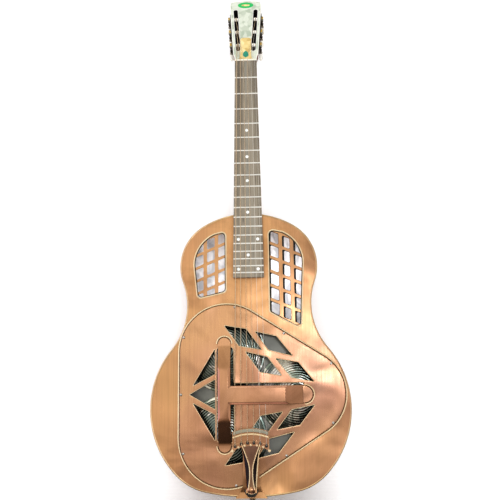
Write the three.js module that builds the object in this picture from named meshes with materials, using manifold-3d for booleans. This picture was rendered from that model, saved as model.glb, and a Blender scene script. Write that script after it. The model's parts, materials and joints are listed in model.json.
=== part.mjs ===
// A metal-bodied resonator guitar with three spun cones, standing upright.
// X runs across the guitar (treble side +X), Y runs from the strings (-Y) to the back (+Y),
// Z runs up the neck. The origin is on the outer face of the back plate, on the centre line,
// at the widest part of the lower bout. Millimetres.
import * as THREE from "three";
import { mergeVertices } from "three/addons/utils/BufferGeometryUtils.js";
import Module from "manifold-3d";

const wasm = await Module();
wasm.setup();

// ---------- driving dimensions ----------

const SHEET = 1.2; // body sheet metal
const BODY_DEPTH = 80;
const TAIL_Z = -150; // the body's lowest point
const BODY_TOP_Z = 361.5; // the body's highest point
const FRET_12_Z = 352.5; // the twelfth fret, where the scale is anchored
const SCALE_LENGTH = 635;
const NUT_Z = FRET_12_Z + SCALE_LENGTH / 2;
const FRETS = 19;
const STRINGS = 6;
const FIT_GAP = 0.3; // between a piece and the neighbour it seats in or against

// depths, measured from the back plate's outer face towards the strings
const TOP_Y = -BODY_DEPTH; // outer face of the top plate
const COVER_Y = TOP_Y - 4.2; // outer face of the coverplate
const BOARD_Y = TOP_Y - 7; // playing surface of the fretboard
const NECK_FACE_Y = TOP_Y - 0.5; // where the fretboard is glued on
const FRET_HEIGHT = 1;
const SADDLE_STRING_Y = TOP_Y - 14.6;
const NUT_STRING_Y = BOARD_Y - 2;
const REST_Y = TOP_Y - 23; // outer face of the hand rest

// the T of the hand rest, bridge and cones
const AXIS_Z = 27; // the leg's centre line
const CROSS_X = -46; // the long bar's centre line
const SADDLE_Z = 32;
const CONE = { radius: 75, height: 26.6, wall: 0.8, noseX: 86, offAxis: 77.5 };
const WELL_FLOOR_Y = -54;

// the headstock, in its own tilted frame: x across, y back from its face, z up along its face
const HEAD = { tilt: 14.5, faceY: TOP_Y - 2, top: 163, veneer: 1.5, veneerFrom: 5.6, thickness: 16 };
const HEAD_EDGE = { lowZ: 21, lowX: 25, slope: 0.058 }; // the straight sides that carry the tuners
const SLOT = { fromZ: 28, toZ: 139, lowX: 15.2, slope: 0.05, width: 8.8 };
const POSTS = { z: [48.5, 83, 117.5], depth: 7, shaftR: 2.2, rollerR: 3.2 };
const GEAR = { teeth: 14, outerR: 5.6, rootR: 4.5, from: 2.3, to: 5 };
const WORM = { radius: 1.8, shaftR: 1.4, drop: 8.2, x: 3.65 };
const RUNNING_GAP = 0.3; // round a turning shaft

const COPPER = { color: 0xb87a50, roughness: 0.32, metalness: 1 };
const NICKEL = { color: 0xc9c9c4, roughness: 0.25, metalness: 1 };
const ALUMINIUM = { color: 0xaab0ae, roughness: 0.35, metalness: 1 };
const STEEL = { color: 0xb4b4b0, roughness: 0.3, metalness: 1 };
const BRASS = { color: 0xcaa24a, roughness: 0.35, metalness: 1 };
const BRONZE = { color: 0xb98a55, roughness: 0.4, metalness: 1 };
const MAHOGANY = { color: 0x5a2f1d, roughness: 0.5, metalness: 0 };
const ROSEWOOD = { color: 0x3f2e26, roughness: 0.6, metalness: 0 };
const MAPLE = { color: 0xc9a36b, roughness: 0.55, metalness: 0 };
const BONE = { color: 0xece4cc, roughness: 0.4, metalness: 0 };
const PEARLOID = { color: 0xe6e8dc, roughness: 0.25, metalness: 0 };
const AMBER = { color: 0xd2ae55, roughness: 0.35, metalness: 0 };

// ---------- geometry helpers ----------

const degrees = THREE.MathUtils.degToRad;

// A closed three.js geometry as a manifold-3d solid.
function solid(geometry) {
  const bare = geometry.index ? geometry.toNonIndexed() : geometry.clone();
  bare.deleteAttribute("normal");
  bare.deleteAttribute("uv");
  const merged = mergeVertices(bare, 1e-4);
  const triVerts = new Uint32Array(merged.index.array);
  const vertProperties = merged.attributes.position.array;
  const made = new wasm.Manifold(new wasm.Mesh({ numProp: 3, vertProperties, triVerts }));
  if (made.volume() > 0) return made;
  for (let i = 0; i < triVerts.length; i += 3) {
    [triVerts[i + 1], triVerts[i + 2]] = [triVerts[i + 2], triVerts[i + 1]];
  }
  return new wasm.Manifold(new wasm.Mesh({ numProp: 3, vertProperties, triVerts }));
}

function geometryOf(made) {
  const mesh = made.getMesh();
  const positions = new Float32Array(mesh.numVert * 3);
  for (let i = 0; i < mesh.numVert; i++) {
    positions.set(mesh.vertProperties.subarray(i * mesh.numProp, i * mesh.numProp + 3), i * 3);
  }
  const geometry = new THREE.BufferGeometry();
  geometry.setAttribute("position", new THREE.BufferAttribute(positions, 3));
  geometry.setIndex(new THREE.BufferAttribute(mesh.triVerts, 1));
  geometry.computeVertexNormals();
  return geometry;
}

const joined = (solids) => solids.reduce((a, b) => a.add(b));

const arc = (cx, cy, r, from, to, steps) =>
  Array.from({ length: steps + 1 }, (_, i) => {
    const a = from + ((to - from) * i) / steps;
    return new THREE.Vector2(cx + r * Math.cos(a), cy + r * Math.sin(a));
  });

const points2 = (pairs) => pairs.map(([x, y]) => new THREE.Vector2(x, y));

// Drops a point that repeats the one before it.
function distinct(outline) {
  return outline.filter((p, i) => p.distanceTo(outline.at(i - 1)) > 1e-3);
}

// A polygon whose corners are rounded; each corner is [x, y, radius].
function roundedPolygon(corners, steps = 4) {
  const outline = [];
  corners.forEach(([x, y, r = 0], i) => {
    const here = new THREE.Vector2(x, y);
    if (r === 0) {
      outline.push(here);
      return;
    }
    const [px, py] = corners.at(i - 1);
    const [nx, ny] = corners[(i + 1) % corners.length];
    const back = new THREE.Vector2(px - x, py - y).normalize();
    const on = new THREE.Vector2(nx - x, ny - y).normalize();
    const half = Math.acos(THREE.MathUtils.clamp(back.dot(on), -1, 1)) / 2;
    const centre = back.clone().add(on).normalize().multiplyScalar(r / Math.sin(half)).add(here);
    const start = back.multiplyScalar(r / Math.tan(half)).add(here).sub(centre);
    const end = on.multiplyScalar(r / Math.tan(half)).add(here).sub(centre);
    const turn = Math.atan2(start.cross(end), start.dot(end));
    outline.push(...arc(centre.x, centre.y, r, start.angle(), start.angle() + turn, steps));
  });
  return distinct(outline);
}

// A flat piece drawn in X and Z, from front (the -Y side) to back along Y.
function plate(outline, front, back, holes = []) {
  const shape = new THREE.Shape(outline);
  shape.holes = holes.map((hole) => new THREE.Path(hole));
  const flat = new THREE.ExtrudeGeometry(shape, { depth: back - front, bevelEnabled: false });
  return solid(flat.rotateX(Math.PI / 2).translate(0, back, 0));
}

// A prism along Z of an outline drawn in X and Y.
function prismZ(outline, from, to) {
  const shape = new THREE.Shape(outline);
  return solid(
    new THREE.ExtrudeGeometry(shape, { depth: to - from, bevelEnabled: false }).translate(0, 0, from),
  );
}

// A prism along X of an outline drawn in Y and Z.
function prismX(outline, from, to, holes = []) {
  const shape = new THREE.Shape(outline);
  shape.holes = holes.map((hole) => new THREE.Path(hole));
  const flat = new THREE.ExtrudeGeometry(shape, { depth: to - from, bevelEnabled: false });
  return solid(flat.rotateX(Math.PI / 2).rotateZ(Math.PI / 2).translate(from, 0, 0));
}

function box([x0, x1], [y0, y1], [z0, z1]) {
  return solid(
    new THREE.BoxGeometry(x1 - x0, y1 - y0, z1 - z0).translate(
      (x0 + x1) / 2,
      (y0 + y1) / 2,
      (z0 + z1) / 2,
    ),
  );
}

// A turned piece about the Y axis; its profile's second number points to the strings (-Y).
const turned = (profile, segments) =>
  solid(new THREE.LatheGeometry(points2(profile), segments).rotateX(Math.PI));

function cylinderAlong(axis, r, from, to, centre = [0, 0, 0], segments = 8) {
  const bar = new THREE.CylinderGeometry(r, r, to - from, segments).translate(0, (from + to) / 2, 0);
  if (axis === "x") bar.rotateZ(-Math.PI / 2);
  if (axis === "z") bar.rotateX(Math.PI / 2);
  return solid(bar.translate(...centre));
}

// A closed skin through rings of points that all have the same count.
function loft(rings) {
  const count = rings[0].length;
  const vertices = rings.flat().flatMap((p) => [p.x, p.y, p.z]);
  const faces = [];
  for (let i = 0; i + 1 < rings.length; i++) {
    for (let j = 0; j < count; j++) {
      const a = i * count + j;
      const b = i * count + ((j + 1) % count);
      faces.push(a, b, b + count, a, b + count, a + count);
    }
  }
  const last = (rings.length - 1) * count;
  for (let j = 1; j + 1 < count; j++) {
    faces.push(0, j + 1, j, last, last + j, last + j + 1);
  }
  const geometry = new THREE.BufferGeometry();
  geometry.setAttribute("position", new THREE.Float32BufferAttribute(vertices, 3));
  geometry.setIndex(faces);
  return solid(geometry);
}

// A round bar through points that lie nearly in one Y-Z plane.
function rod(path, radius, sides) {
  const across = new THREE.Vector3(1, 0, 0);
  return loft(
    path.map((p, i) => {
      const before = path[Math.max(i - 1, 0)];
      const after = path[Math.min(i + 1, path.length - 1)];
      const along = after.clone().sub(before).normalize();
      const up = along.clone().cross(across).normalize();
      const side = up.clone().cross(along);
      return Array.from({ length: sides }, (_, k) => {
        const a = (2 * Math.PI * (k + 0.5)) / sides;
        return p
          .clone()
          .addScaledVector(side, radius * Math.cos(a))
          .addScaledVector(up, radius * Math.sin(a));
      });
    }),
  );
}

const guitar = new THREE.Group();

function piece(name, made, finish, parent = guitar) {
  const mesh = new THREE.Mesh(geometryOf(made), new THREE.MeshStandardMaterial(finish));
  mesh.name = name;
  parent.add(mesh);
  return mesh;
}

// ---------- the body's outline: tangent arcs, mirrored about the centre line ----------

const UPPER = { x: 38, z: 261, r: 90 };
const LOWER = { x: 16, z: 3, r: 165 };
const WAIST_R = 125;
const CORNER_R = 105;
const TAIL = { x: 0, z: TAIL_Z + 400, r: 400 };

// The centre of a circle at given distances from two others, on the treble side of the line between them.
function centreBetween(a, fromA, b, fromB) {
  const gap = Math.hypot(b.x - a.x, b.z - a.z);
  const along = (fromA ** 2 - fromB ** 2 + gap ** 2) / (2 * gap);
  const off = Math.sqrt(fromA ** 2 - along ** 2);
  const ux = (b.x - a.x) / gap;
  const uz = (b.z - a.z) / gap;
  const side = uz > 0 ? 1 : -1;
  return { x: a.x + ux * along + side * uz * off, z: a.z + uz * along - side * ux * off };
}

const WAIST = { ...centreBetween(UPPER, UPPER.r + WAIST_R, LOWER, LOWER.r + WAIST_R), r: WAIST_R };
const CORNER = { ...centreBetween(LOWER, LOWER.r - CORNER_R, TAIL, TAIL.r - CORNER_R), r: CORNER_R };
const shoulderRadius =
  (UPPER.x ** 2 + (BODY_TOP_Z - UPPER.z) ** 2 - UPPER.r ** 2) / (2 * (BODY_TOP_Z - UPPER.z - UPPER.r));
const SHOULDER = { x: 0, z: BODY_TOP_Z - shoulderRadius, r: shoulderRadius };

const bearing = (from, to) => Math.atan2(to.z - from.z, to.x - from.x);

function bodyOutline(inset = 0) {
  const inside = (c, from, to, steps) => arc(c.x, c.z, c.r - inset, from, to, steps);
  const half = [
    ...inside(TAIL, -Math.PI / 2, bearing(TAIL, CORNER), 3),
    ...inside(CORNER, bearing(TAIL, CORNER), bearing(LOWER, CORNER), 4),
    ...inside(LOWER, bearing(LOWER, CORNER), bearing(LOWER, WAIST), 9),
    ...arc(WAIST.x, WAIST.z, WAIST.r + inset, bearing(WAIST, LOWER) + 2 * Math.PI, bearing(WAIST, UPPER), 6),
    ...inside(UPPER, bearing(UPPER, WAIST), bearing(SHOULDER, UPPER), 9),
    ...inside(SHOULDER, bearing(SHOULDER, UPPER), Math.PI / 2, 4),
  ];
  const right = distinct(half);
  const left = right.slice(1, -1).reverse();
  return [...right, ...left.map((p) => new THREE.Vector2(-p.x, p.y))];
}

// ---------- the coverplate's outline: three corner circles joined by their outer tangents ----------

const BIG_CORNER = { x: -42, z: 75.5, r: 87 }; // one above the axis and one below
const NOSE = { x: 94.5, z: 0, r: 78 };
const noseBearing = Math.atan2(BIG_CORNER.z, NOSE.x - BIG_CORNER.x);
const taper = Math.asin((BIG_CORNER.r - NOSE.r) / Math.hypot(NOSE.x - BIG_CORNER.x, BIG_CORNER.z));
const TANGENT = Math.PI / 2 - noseBearing - taper; // bearing of the sloping sides' outward normal

function coverOutline(inset = 0, steps = 5) {
  const upper = [
    ...arc(NOSE.x, AXIS_Z, NOSE.r - inset, 0, TANGENT, steps),
    ...arc(BIG_CORNER.x, AXIS_Z + BIG_CORNER.z, BIG_CORNER.r - inset, TANGENT, Math.PI, steps + 3),
  ];
  const lower = upper.slice(1).reverse();
  return [...upper, ...lower.map((p) => new THREE.Vector2(p.x, 2 * AXIS_Z - p.y))];
}

// ---------- sound holes ----------

const HOLE_ARCH_R = 63;
const HOLE_REACH_X = 100; // the outermost part of the arch
const HOLE_LOW_X = 94.5;
const HOLE = {
  bass: { innerX: 43, archZ: UPPER.z + 3, innerZ: 213, outerZ: 201 },
  treble: { innerX: 38.5, archZ: UPPER.z + 5.5, innerZ: 174.5, outerZ: 143.5 },
};
const GRILLE_LAP = 4; // the grille's border behind the sound hole's edge

function soundHole(side, grow = 0) {
  const { innerX, archZ, innerZ, outerZ } = HOLE[side];
  const sign = side === "bass" ? -1 : 1;
  const arch = arc(UPPER.x, archZ, HOLE_ARCH_R + grow, degrees(66), degrees(-6), 7);
  const corners = [
    [innerX - grow, innerZ - grow, 7],
    [innerX - grow, archZ + HOLE_ARCH_R + grow, 9],
    ...arch.map((p) => [p.x, p.y]),
    [HOLE_LOW_X + grow, outerZ - grow, 7],
  ];
  return roundedPolygon(corners.map(([x, z, r]) => [sign * x, z, r]), 3);
}

const LATTICE = { upright: 7.4, rail: 6.2, uprights: [60, 81], slope: Math.tan(degrees(23)), topZ: 304.7 };
const LATTICE_PITCH = { bass: 24.2, treble: 26.6 };

function latticeBars(side, front, back) {
  const sign = side === "bass" ? -1 : 1;
  const halfUpright = LATTICE.upright / 2;
  const half = LATTICE.rail / 2;
  const reach = 30; // past the sound hole on both sides
  const uprights = LATTICE.uprights.map((x) =>
    box([sign * x - halfUpright, sign * x + halfUpright], [front, back], [100, 345]),
  );
  const rails = [];
  const drop = LATTICE.slope * (HOLE_REACH_X + reach - HOLE[side].innerX);
  const inner = sign * (HOLE[side].innerX - GRILLE_LAP);
  const outer = sign * (HOLE_REACH_X + reach);
  for (let z = LATTICE.topZ; z > 140; z -= LATTICE_PITCH[side]) {
    rails.push(
      plate(
        points2([
          [inner, z + half],
          [inner, z - half],
          [outer, z - drop - half],
          [outer, z - drop + half],
        ]),
        front,
        back,
      ),
    );
  }
  return joined([...uprights, ...rails]);
}

function soundGrille(side) {
  const front = TOP_Y + SHEET + FIT_GAP;
  const back = front + SHEET;
  const border = plate(soundHole(side, GRILLE_LAP), front, back, [soundHole(side).reverse()]);
  const bars = latticeBars(side, front, back).intersect(plate(soundHole(side, GRILLE_LAP), front, back));
  return border.add(bars);
}


// ---------- the coverplate: flat flange, low dome, cut-outs ----------

const FLANGE = 9;
const DOME = 24; // how far in from the edge the dome becomes flat
const SCREW_INSET = 4.4;
const SCREW = { headR: 2.5, headHeight: 1.3, shankR: 1.3, length: 7, holeR: 1.7 };
const FLANGE_Y = TOP_Y - 1.4;

// A closed solid through outlines at given depths, front last; outlines share one point count.
const stacked = (layers) =>
  loft(layers.map(([outline, y]) => outline.map((p) => new THREE.Vector3(p.x, y, p.y))));

// Screw centres: four round the upper half, mirrored below the axis, and one at the left.
function screwPlaces() {
  const round = (c, turn) =>
    new THREE.Vector2(c.x, c.z).add(
      new THREE.Vector2(c.r - SCREW_INSET, 0).rotateAround(new THREE.Vector2(), turn),
    );
  const midSide = round(BIG_CORNER, TANGENT).lerp(round(NOSE, TANGENT), 0.46);
  const above = [
    round(BIG_CORNER, degrees(79)),
    round(BIG_CORNER, degrees(161)),
    midSide,
    round(NOSE, degrees(45)),
  ];
  return [
    [BIG_CORNER.x - BIG_CORNER.r + SCREW_INSET, AXIS_Z],
    ...above.map((p) => [p.x, AXIS_Z + p.y]),
    ...above.map((p) => [p.x, AXIS_Z - p.y]),
  ];
}

// Cut-outs above the axis, measured from the axis; each has a mirror image below it.
const CUTOUTS = [
  [[-47, 123.5], [-5.5, 116.5], [23.4, 77.5], [-19.3, 85]],
  [[9.2, 112], [49.2, 102.7], [78.8, 66], [33.7, 77.3]],
  [[-9, 75.8], [31.9, 65.5], [58.6, 31], [18.1, 37.8]],
  [[45.4, 63.1], [87.7, 55.3], [116.4, 19.6], [73.8, 27.6]],
  [[-104.5, 14], [-62.5, 35.5], [-62.5, 82.5]],
];
const LEFT_CUTOUT = [[-110, 0], [-62.5, 27], [-62.5, -27]];
const LONG_OPENING = { left: -60.5, right: -29, half: 84.5, corner: 8 };
const LEG_OPENING = { right: 97, low: -11, high: 19.5, corner: 4 };

function coverOpenings() {
  const through = (outline) => plate(outline, COVER_Y - 5, TOP_Y + 5);
  const upper = CUTOUTS.map((corners) => points2(corners.map(([x, z]) => [x, AXIS_Z + z])));
  const lower = CUTOUTS.map((corners) => points2(corners.map(([x, z]) => [x, AXIS_Z - z])));
  const left = points2(LEFT_CUTOUT.map(([x, z]) => [x, AXIS_Z + z]));
  const rectangle = (x0, x1, low, high, r) =>
    roundedPolygon([
      [x0, AXIS_Z + low, r],
      [x1, AXIS_Z + low, r],
      [x1, AXIS_Z + high, r],
      [x0, AXIS_Z + high, r],
    ]);
  const long = rectangle(
    LONG_OPENING.left,
    LONG_OPENING.right,
    -LONG_OPENING.half,
    LONG_OPENING.half,
    LONG_OPENING.corner,
  );
  const leg = rectangle(CROSS_X, LEG_OPENING.right, LEG_OPENING.low, LEG_OPENING.high, LEG_OPENING.corner);
  return joined([...upper, ...lower, left, long, leg].map(through));
}

function coverplate() {
  const outer = stacked([
    [coverOutline(), TOP_Y],
    [coverOutline(), FLANGE_Y],
    [coverOutline(FLANGE), FLANGE_Y],
    [coverOutline(DOME), COVER_Y],
  ]);
  const hollow = stacked([
    [coverOutline(FLANGE), TOP_Y + 1],
    [coverOutline(FLANGE), FLANGE_Y + SHEET],
    [coverOutline(DOME), COVER_Y + SHEET],
  ]);
  const holes = screwPlaces().map(([x, z]) =>
    solid(screwCylinder(SCREW.holeR, FLANGE_Y - 3, TOP_Y + 3).translate(x, 0, z)),
  );
  return outer.subtract(joined([hollow, coverOpenings(), ...holes]));
}

const screwCylinder = (r, front, back) =>
  new THREE.CylinderGeometry(r, r, back - front, 8).translate(0, (front + back) / 2, 0);

function screw() {
  return turned(
    [
      [0, -SCREW.length],
      [SCREW.shankR, 0.6 - SCREW.length],
      [SCREW.shankR, 0],
      [SCREW.headR, 0],
      [SCREW.headR * 0.8, SCREW.headHeight * 0.8],
      [0, SCREW.headHeight],
    ],
    8,
  );
}

// ---------- body shell ----------

const body = bodyOutline();
const bodyInside = bodyOutline(SHEET);
const NECK_STICK = { x: 9, front: -51, back: -31, from: TAIL_Z + 3, to: BODY_TOP_Z + 5.5 };

function topPlate() {
  const screwHoles = screwPlaces().map(([x, z]) =>
    solid(screwCylinder(SCREW.holeR, TOP_Y - 3, TOP_Y + 5).translate(x, 0, z)),
  );
  const openings = [coverOutline(WELL.wallInset + WELL.wall), soundHole("bass"), soundHole("treble")].map(
    (outline) => plate(outline, TOP_Y - 1, TOP_Y + 5),
  );
  return plate(body, TOP_Y, TOP_Y + SHEET).subtract(joined([...openings, ...screwHoles]));
}

function rim() {
  const stickHole = box(
    [-NECK_STICK.x - FIT_GAP, NECK_STICK.x + FIT_GAP],
    [NECK_STICK.front - FIT_GAP, NECK_STICK.back + FIT_GAP],
    [BODY_TOP_Z - 6, BODY_TOP_Z + 6],
  );
  const pinHole = cylinderAlong("z", END_PIN.shankR + FIT_GAP, TAIL_Z - 5, TAIL_Z + 5, [0, END_PIN.y, 0]);
  const screwHoles = bracketScrews().map(([x, y]) =>
    cylinderAlong("z", SCREW.holeR, TAIL_Z - 5, TAIL_Z + 5, [x, y, 0]),
  );
  return plate(body, TOP_Y + SHEET, -SHEET, [bodyInside.slice().reverse()]).subtract(
    joined([stickHole, pinHole, ...screwHoles]),
  );
}

// ---------- soundwell, cones, bridge ----------

const WELL = { flangeInset: 1, wallInset: 6.2, wall: 0.8, openingR: 66 };
const conePlaces = [
  [CROSS_X, AXIS_Z + CONE.offAxis],
  [CROSS_X, AXIS_Z - CONE.offAxis],
  [CONE.noseX, AXIS_Z],
];

function soundwell() {
  const top = TOP_Y + SHEET;
  const inner = coverOutline(WELL.wallInset + WELL.wall);
  const floorBack = WELL_FLOOR_Y + WELL.wall;
  const flange = plate(coverOutline(WELL.flangeInset), top, top + WELL.wall, [inner.slice().reverse()]);
  const wall = plate(coverOutline(WELL.wallInset), top, floorBack, [inner.slice().reverse()]);
  const floor = plate(coverOutline(WELL.wallInset), WELL_FLOOR_Y, floorBack);
  const openings = conePlaces.map(([x, z]) =>
    solid(
      new THREE.CylinderGeometry(WELL.openingR, WELL.openingR, 6, 24).translate(x, WELL_FLOOR_Y, z),
    ),
  );
  const screwHoles = screwPlaces().map(([x, z]) =>
    solid(screwCylinder(SCREW.holeR, TOP_Y - 3, TOP_Y + 8).translate(x, 0, z)),
  );
  return joined([flange, wall, floor]).subtract(joined([...openings, ...screwHoles]));
}

function cone() {
  const { radius, height, wall } = CONE;
  return turned(
    [
      [0, height],
      [6, height],
      [radius - 5, 2],
      [radius, wall],
      [radius, 0],
      [radius - 5.5, 1],
      [5.7, height - wall - 0.4],
      [0, height - wall - 0.4],
    ],
    24,
  );
}

const BRIDGE_BACK_Y = WELL_FLOOR_Y - CONE.height;
const BRIDGE = { half: 5, taper: 18, back: BRIDGE_BACK_Y, front: BRIDGE_BACK_Y - 5.9 };
const SADDLE = { x: 33, half: 1.5, seat: 2 };

function bridge() {
  const { half, front, back } = BRIDGE;
  const reach = CONE.offAxis + half - 1;
  const tapered = [
    [back, AXIS_Z - reach],
    [front, AXIS_Z - reach + BRIDGE.taper],
    [front, AXIS_Z + reach - BRIDGE.taper],
    [back, AXIS_Z + reach],
  ];
  const legEnd = CONE.noseX + half;
  const legSide = [
    [CROSS_X, back],
    [CROSS_X, front],
    [legEnd - BRIDGE.taper / 2, front],
    [legEnd, back],
  ];
  const long = prismX(points2(tapered), CROSS_X - half, CROSS_X + half);
  const leg = prismZ(points2(legSide), AXIS_Z - half + 1, AXIS_Z + half + 4);
  const seat = box(
    [-SADDLE.x - FIT_GAP, SADDLE.x + FIT_GAP],
    [front - 1, front + SADDLE.seat],
    [SADDLE_Z - SADDLE.half - FIT_GAP, SADDLE_Z + SADDLE.half + FIT_GAP],
  );
  return joined([long, leg]).subtract(seat);
}

// ---------- hand rest: a T-shaped channel on three feet ----------

const REST = { half: 11.4, bevel: 3.8, flat: 40, slopeEnd: 87, foot: 101, wall: 1.3 };
const REST_LEG = { z: 25.2, half: 16.3, flatEnd: 63, slopeEnd: 96.5, footHalf: 14.6 };
const REST_WALL_Y = -96.6; // lower edge of the leg's sides, clear of the strings

// The channel's outside, or its hollow when inset by the wall.
function handRestMass(inset) {
  const top = REST_Y + inset;
  const under = COVER_Y + (inset ? 1 : 0);
  const section = (half, centre) =>
    points2([
      [centre - half + inset, under],
      [centre - half + inset, REST_Y + REST.bevel + inset / 2],
      [centre - half + REST.bevel, top],
      [centre + half - REST.bevel, top],
      [centre + half - inset, REST_Y + REST.bevel + inset / 2],
      [centre + half - inset, under],
    ]);
  const side = points2([
    [under, AXIS_Z - REST.slopeEnd + inset * 2],
    [top, AXIS_Z - REST.flat],
    [top, AXIS_Z + REST.flat],
    [under, AXIS_Z + REST.slopeEnd - inset * 2],
  ]);
  const long = prismX(side, CROSS_X - 30, CROSS_X + 30).intersect(
    prismZ(section(REST.half, CROSS_X), AXIS_Z - REST.foot, AXIS_Z + REST.foot),
  );
  const legSide = points2([
    [CROSS_X, under],
    [CROSS_X, top],
    [REST_LEG.flatEnd, top],
    [REST_LEG.slopeEnd - inset * 2, under],
  ]);
  const legSection = section(REST_LEG.half, REST_LEG.z).map((p) => new THREE.Vector2(p.y, p.x));
  const leg = prismZ(legSide, AXIS_Z - 40, AXIS_Z + 40).intersect(
    prismX(legSection, CROSS_X, REST_LEG.slopeEnd + 5),
  );
  return long.add(leg);
}

function handRest() {
  const footAt = (x, z, half, turn) => {
    const outline = [
      ...arc(0, 0, half, -Math.PI / 2, Math.PI / 2, 8),
      new THREE.Vector2(-9, half),
      new THREE.Vector2(-9, -half),
    ];
    return plate(
      outline.map((p) => p.rotateAround(new THREE.Vector2(), turn).add(new THREE.Vector2(x, z))),
      COVER_Y - REST.wall,
      COVER_Y,
    );
  };
  const feet = [
    footAt(CROSS_X, AXIS_Z + REST.foot - REST.half, REST.half, Math.PI / 2),
    footAt(CROSS_X, AXIS_Z - REST.foot + REST.half, REST.half, -Math.PI / 2),
    footAt(REST_LEG.slopeEnd + 1, REST_LEG.z, REST_LEG.footHalf, 0),
  ];
  const stringPassage = box([CROSS_X + REST.half, REST_LEG.flatEnd], [REST_WALL_Y, COVER_Y + 2], [-20, 70]);
  return handRestMass(0).add(joined(feet)).subtract(handRestMass(REST.wall)).subtract(stringPassage);
}

// ---------- tailpiece ----------

const ARCH = { z: -127, holes: 70 }; // centre of the tailpiece head's arcs, and the string holes' radius
const STRING_HOLE_PITCH = 11.05;
const TAIL_HEAD = { half: 32.5, low: 65, lip: 73, ridgeLow: 83.5, ridgeHigh: 86.5, high: 95 };
const STRAP = { half: 14, flareR: 38, tailHalf: 33, thickness: 1.3 };
const HINGE = { z: -139, y: -85.5, pinR: 1.3, barrelR: 2.6, barrelHalf: 6, lugFrom: 6.6, lugTo: 9.6 };
const END_PIN = { y: -40, shankR: 3, headR: 6, length: 12, shank: 8 };
const bracketScrews = () => [-14, 14].map((x) => [x, -66]);

function sector(low, high, half, front, back) {
  const spread = (r) => Math.asin(half / r);
  const up = Math.PI / 2;
  return plate(
    [
      ...arc(0, ARCH.z, high, up - spread(high), up + spread(high), 10),
      ...arc(0, ARCH.z, low, up + spread(low), up - spread(low), 10),
    ],
    front,
    back,
  );
}

const stringHole = (n) => {
  const x = (n - (STRINGS + 1) / 2) * STRING_HOLE_PITCH;
  return [x, ARCH.z + Math.sqrt(ARCH.holes ** 2 - x ** 2)];
};

// The waisted rib that runs from the head down to the hinge: half-width, front and back at each Z.
const RIB = [
  [-60, 16, -91, -88.6],
  [-64, 14.8, -91, -88.4],
  [-79, 9.4, -90.6, -87.8],
  [-96, 3.8, -90, -87.4],
  [-113, 2.8, -89.4, -86.8],
  [-126, 4.2, -88.8, -85.8],
  [-136.5, 6, -88.2, -85],
  [-139, 6, -88.1, -85],
];

function tailpiece() {
  const head = joined([
    sector(TAIL_HEAD.low, TAIL_HEAD.high, TAIL_HEAD.half, -90.5, -88.5),
    sector(TAIL_HEAD.low, TAIL_HEAD.lip, TAIL_HEAD.half - 1.5, -91.5, -90),
    sector(TAIL_HEAD.ridgeLow, TAIL_HEAD.ridgeHigh, TAIL_HEAD.half, -92.2, -90),
  ]);
  const rib = loft(
    RIB.map(([z, half, front, back]) =>
      [
        [-half, back],
        [-half, front + 0.7],
        [-half * 0.6, front],
        [half * 0.6, front],
        [half, front + 0.7],
        [half, back],
      ].map(([x, y]) => new THREE.Vector3(x, y, z)),
    ),
  );
  const hinge = [0, HINGE.y, HINGE.z];
  const barrel = cylinderAlong("x", HINGE.barrelR, -HINGE.barrelHalf, HINGE.barrelHalf, hinge);
  const pinBore = cylinderAlong("x", HINGE.pinR + FIT_GAP, -30, 30, hinge);
  const holes = Array.from({ length: STRINGS }, (_, i) => {
    const [x, z] = stringHole(i + 1);
    return solid(new THREE.CylinderGeometry(1.6, 1.6, 20, 8).translate(x, -90, z));
  });
  return joined([head, rib, barrel]).subtract(joined([pinBore, ...holes]));
}

function tailpieceBracket() {
  const t = STRAP.thickness;
  const top = TOP_Y - t - 0.05;
  const side = points2([
    [-86.4, -70],
    [-86.4, -106],
    [-83.6, -133],
    [top, -141],
    [top, TAIL_Z - 0.1 - t],
    [-58, TAIL_Z - 0.1 - t],
    [-58, TAIL_Z - 0.1],
    [top + t, TAIL_Z - 0.1],
    [top + t, -141.3],
    [-83.6 + t, -133.3],
    [-86.4 + t, -106.3],
    [-86.4 + t, -70],
  ]);
  const flare = arc(STRAP.half + STRAP.flareR, -121, STRAP.flareR, Math.PI, Math.PI + degrees(48), 6);
  const half = [new THREE.Vector2(STRAP.half, -60), ...flare, new THREE.Vector2(STRAP.tailHalf, -160)];
  const outline = [...half, ...half.map((p) => new THREE.Vector2(-p.x, p.y)).reverse()];
  const lugs = [-1, 1].map((s) => {
    const spread = [s * HINGE.lugFrom, s * HINGE.lugTo].sort((a, b) => a - b);
    return box(spread, [HINGE.y - HINGE.barrelR, top + t / 2], [HINGE.z - 2.4, HINGE.z + 2.4]);
  });
  const strap = prismX(side, -40, 40).intersect(plate(outline, -100, 0));
  const gap = plate(
    [...arc(0, HINGE.z - 1, 5.8, 0, Math.PI, 6), ...arc(0, -145, 8, Math.PI, 2 * Math.PI, 8)],
    top - 0.5,
    top + t + 1,
  );
  const pinBore = cylinderAlong("x", HINGE.pinR + 0.1, -20, 20, [0, HINGE.y, HINGE.z]);
  const screwHoles = bracketScrews().map(([x, y]) =>
    cylinderAlong("z", SCREW.holeR, TAIL_Z - 5, TAIL_Z + 5, [x, y, 0]),
  );
  return strap.add(joined(lugs)).subtract(joined([gap, pinBore, ...screwHoles]));
}

// ---------- neck ----------

const BOARD = { nutHalf: 21.5, bodyHalf: 26.7 };
const boardHalf = (z) =>
  BOARD.nutHalf + ((NUT_Z - z) * (BOARD.bodyHalf - BOARD.nutHalf)) / (NUT_Z - FRET_12_Z);
const fretZ = (n) => NUT_Z - SCALE_LENGTH * (1 - 2 ** (-n / 12));
const BOARD_END_Z = fretZ(FRETS + 1) + 3;
const FRET = { half: 1.2, sunk: 0.5 };

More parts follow.
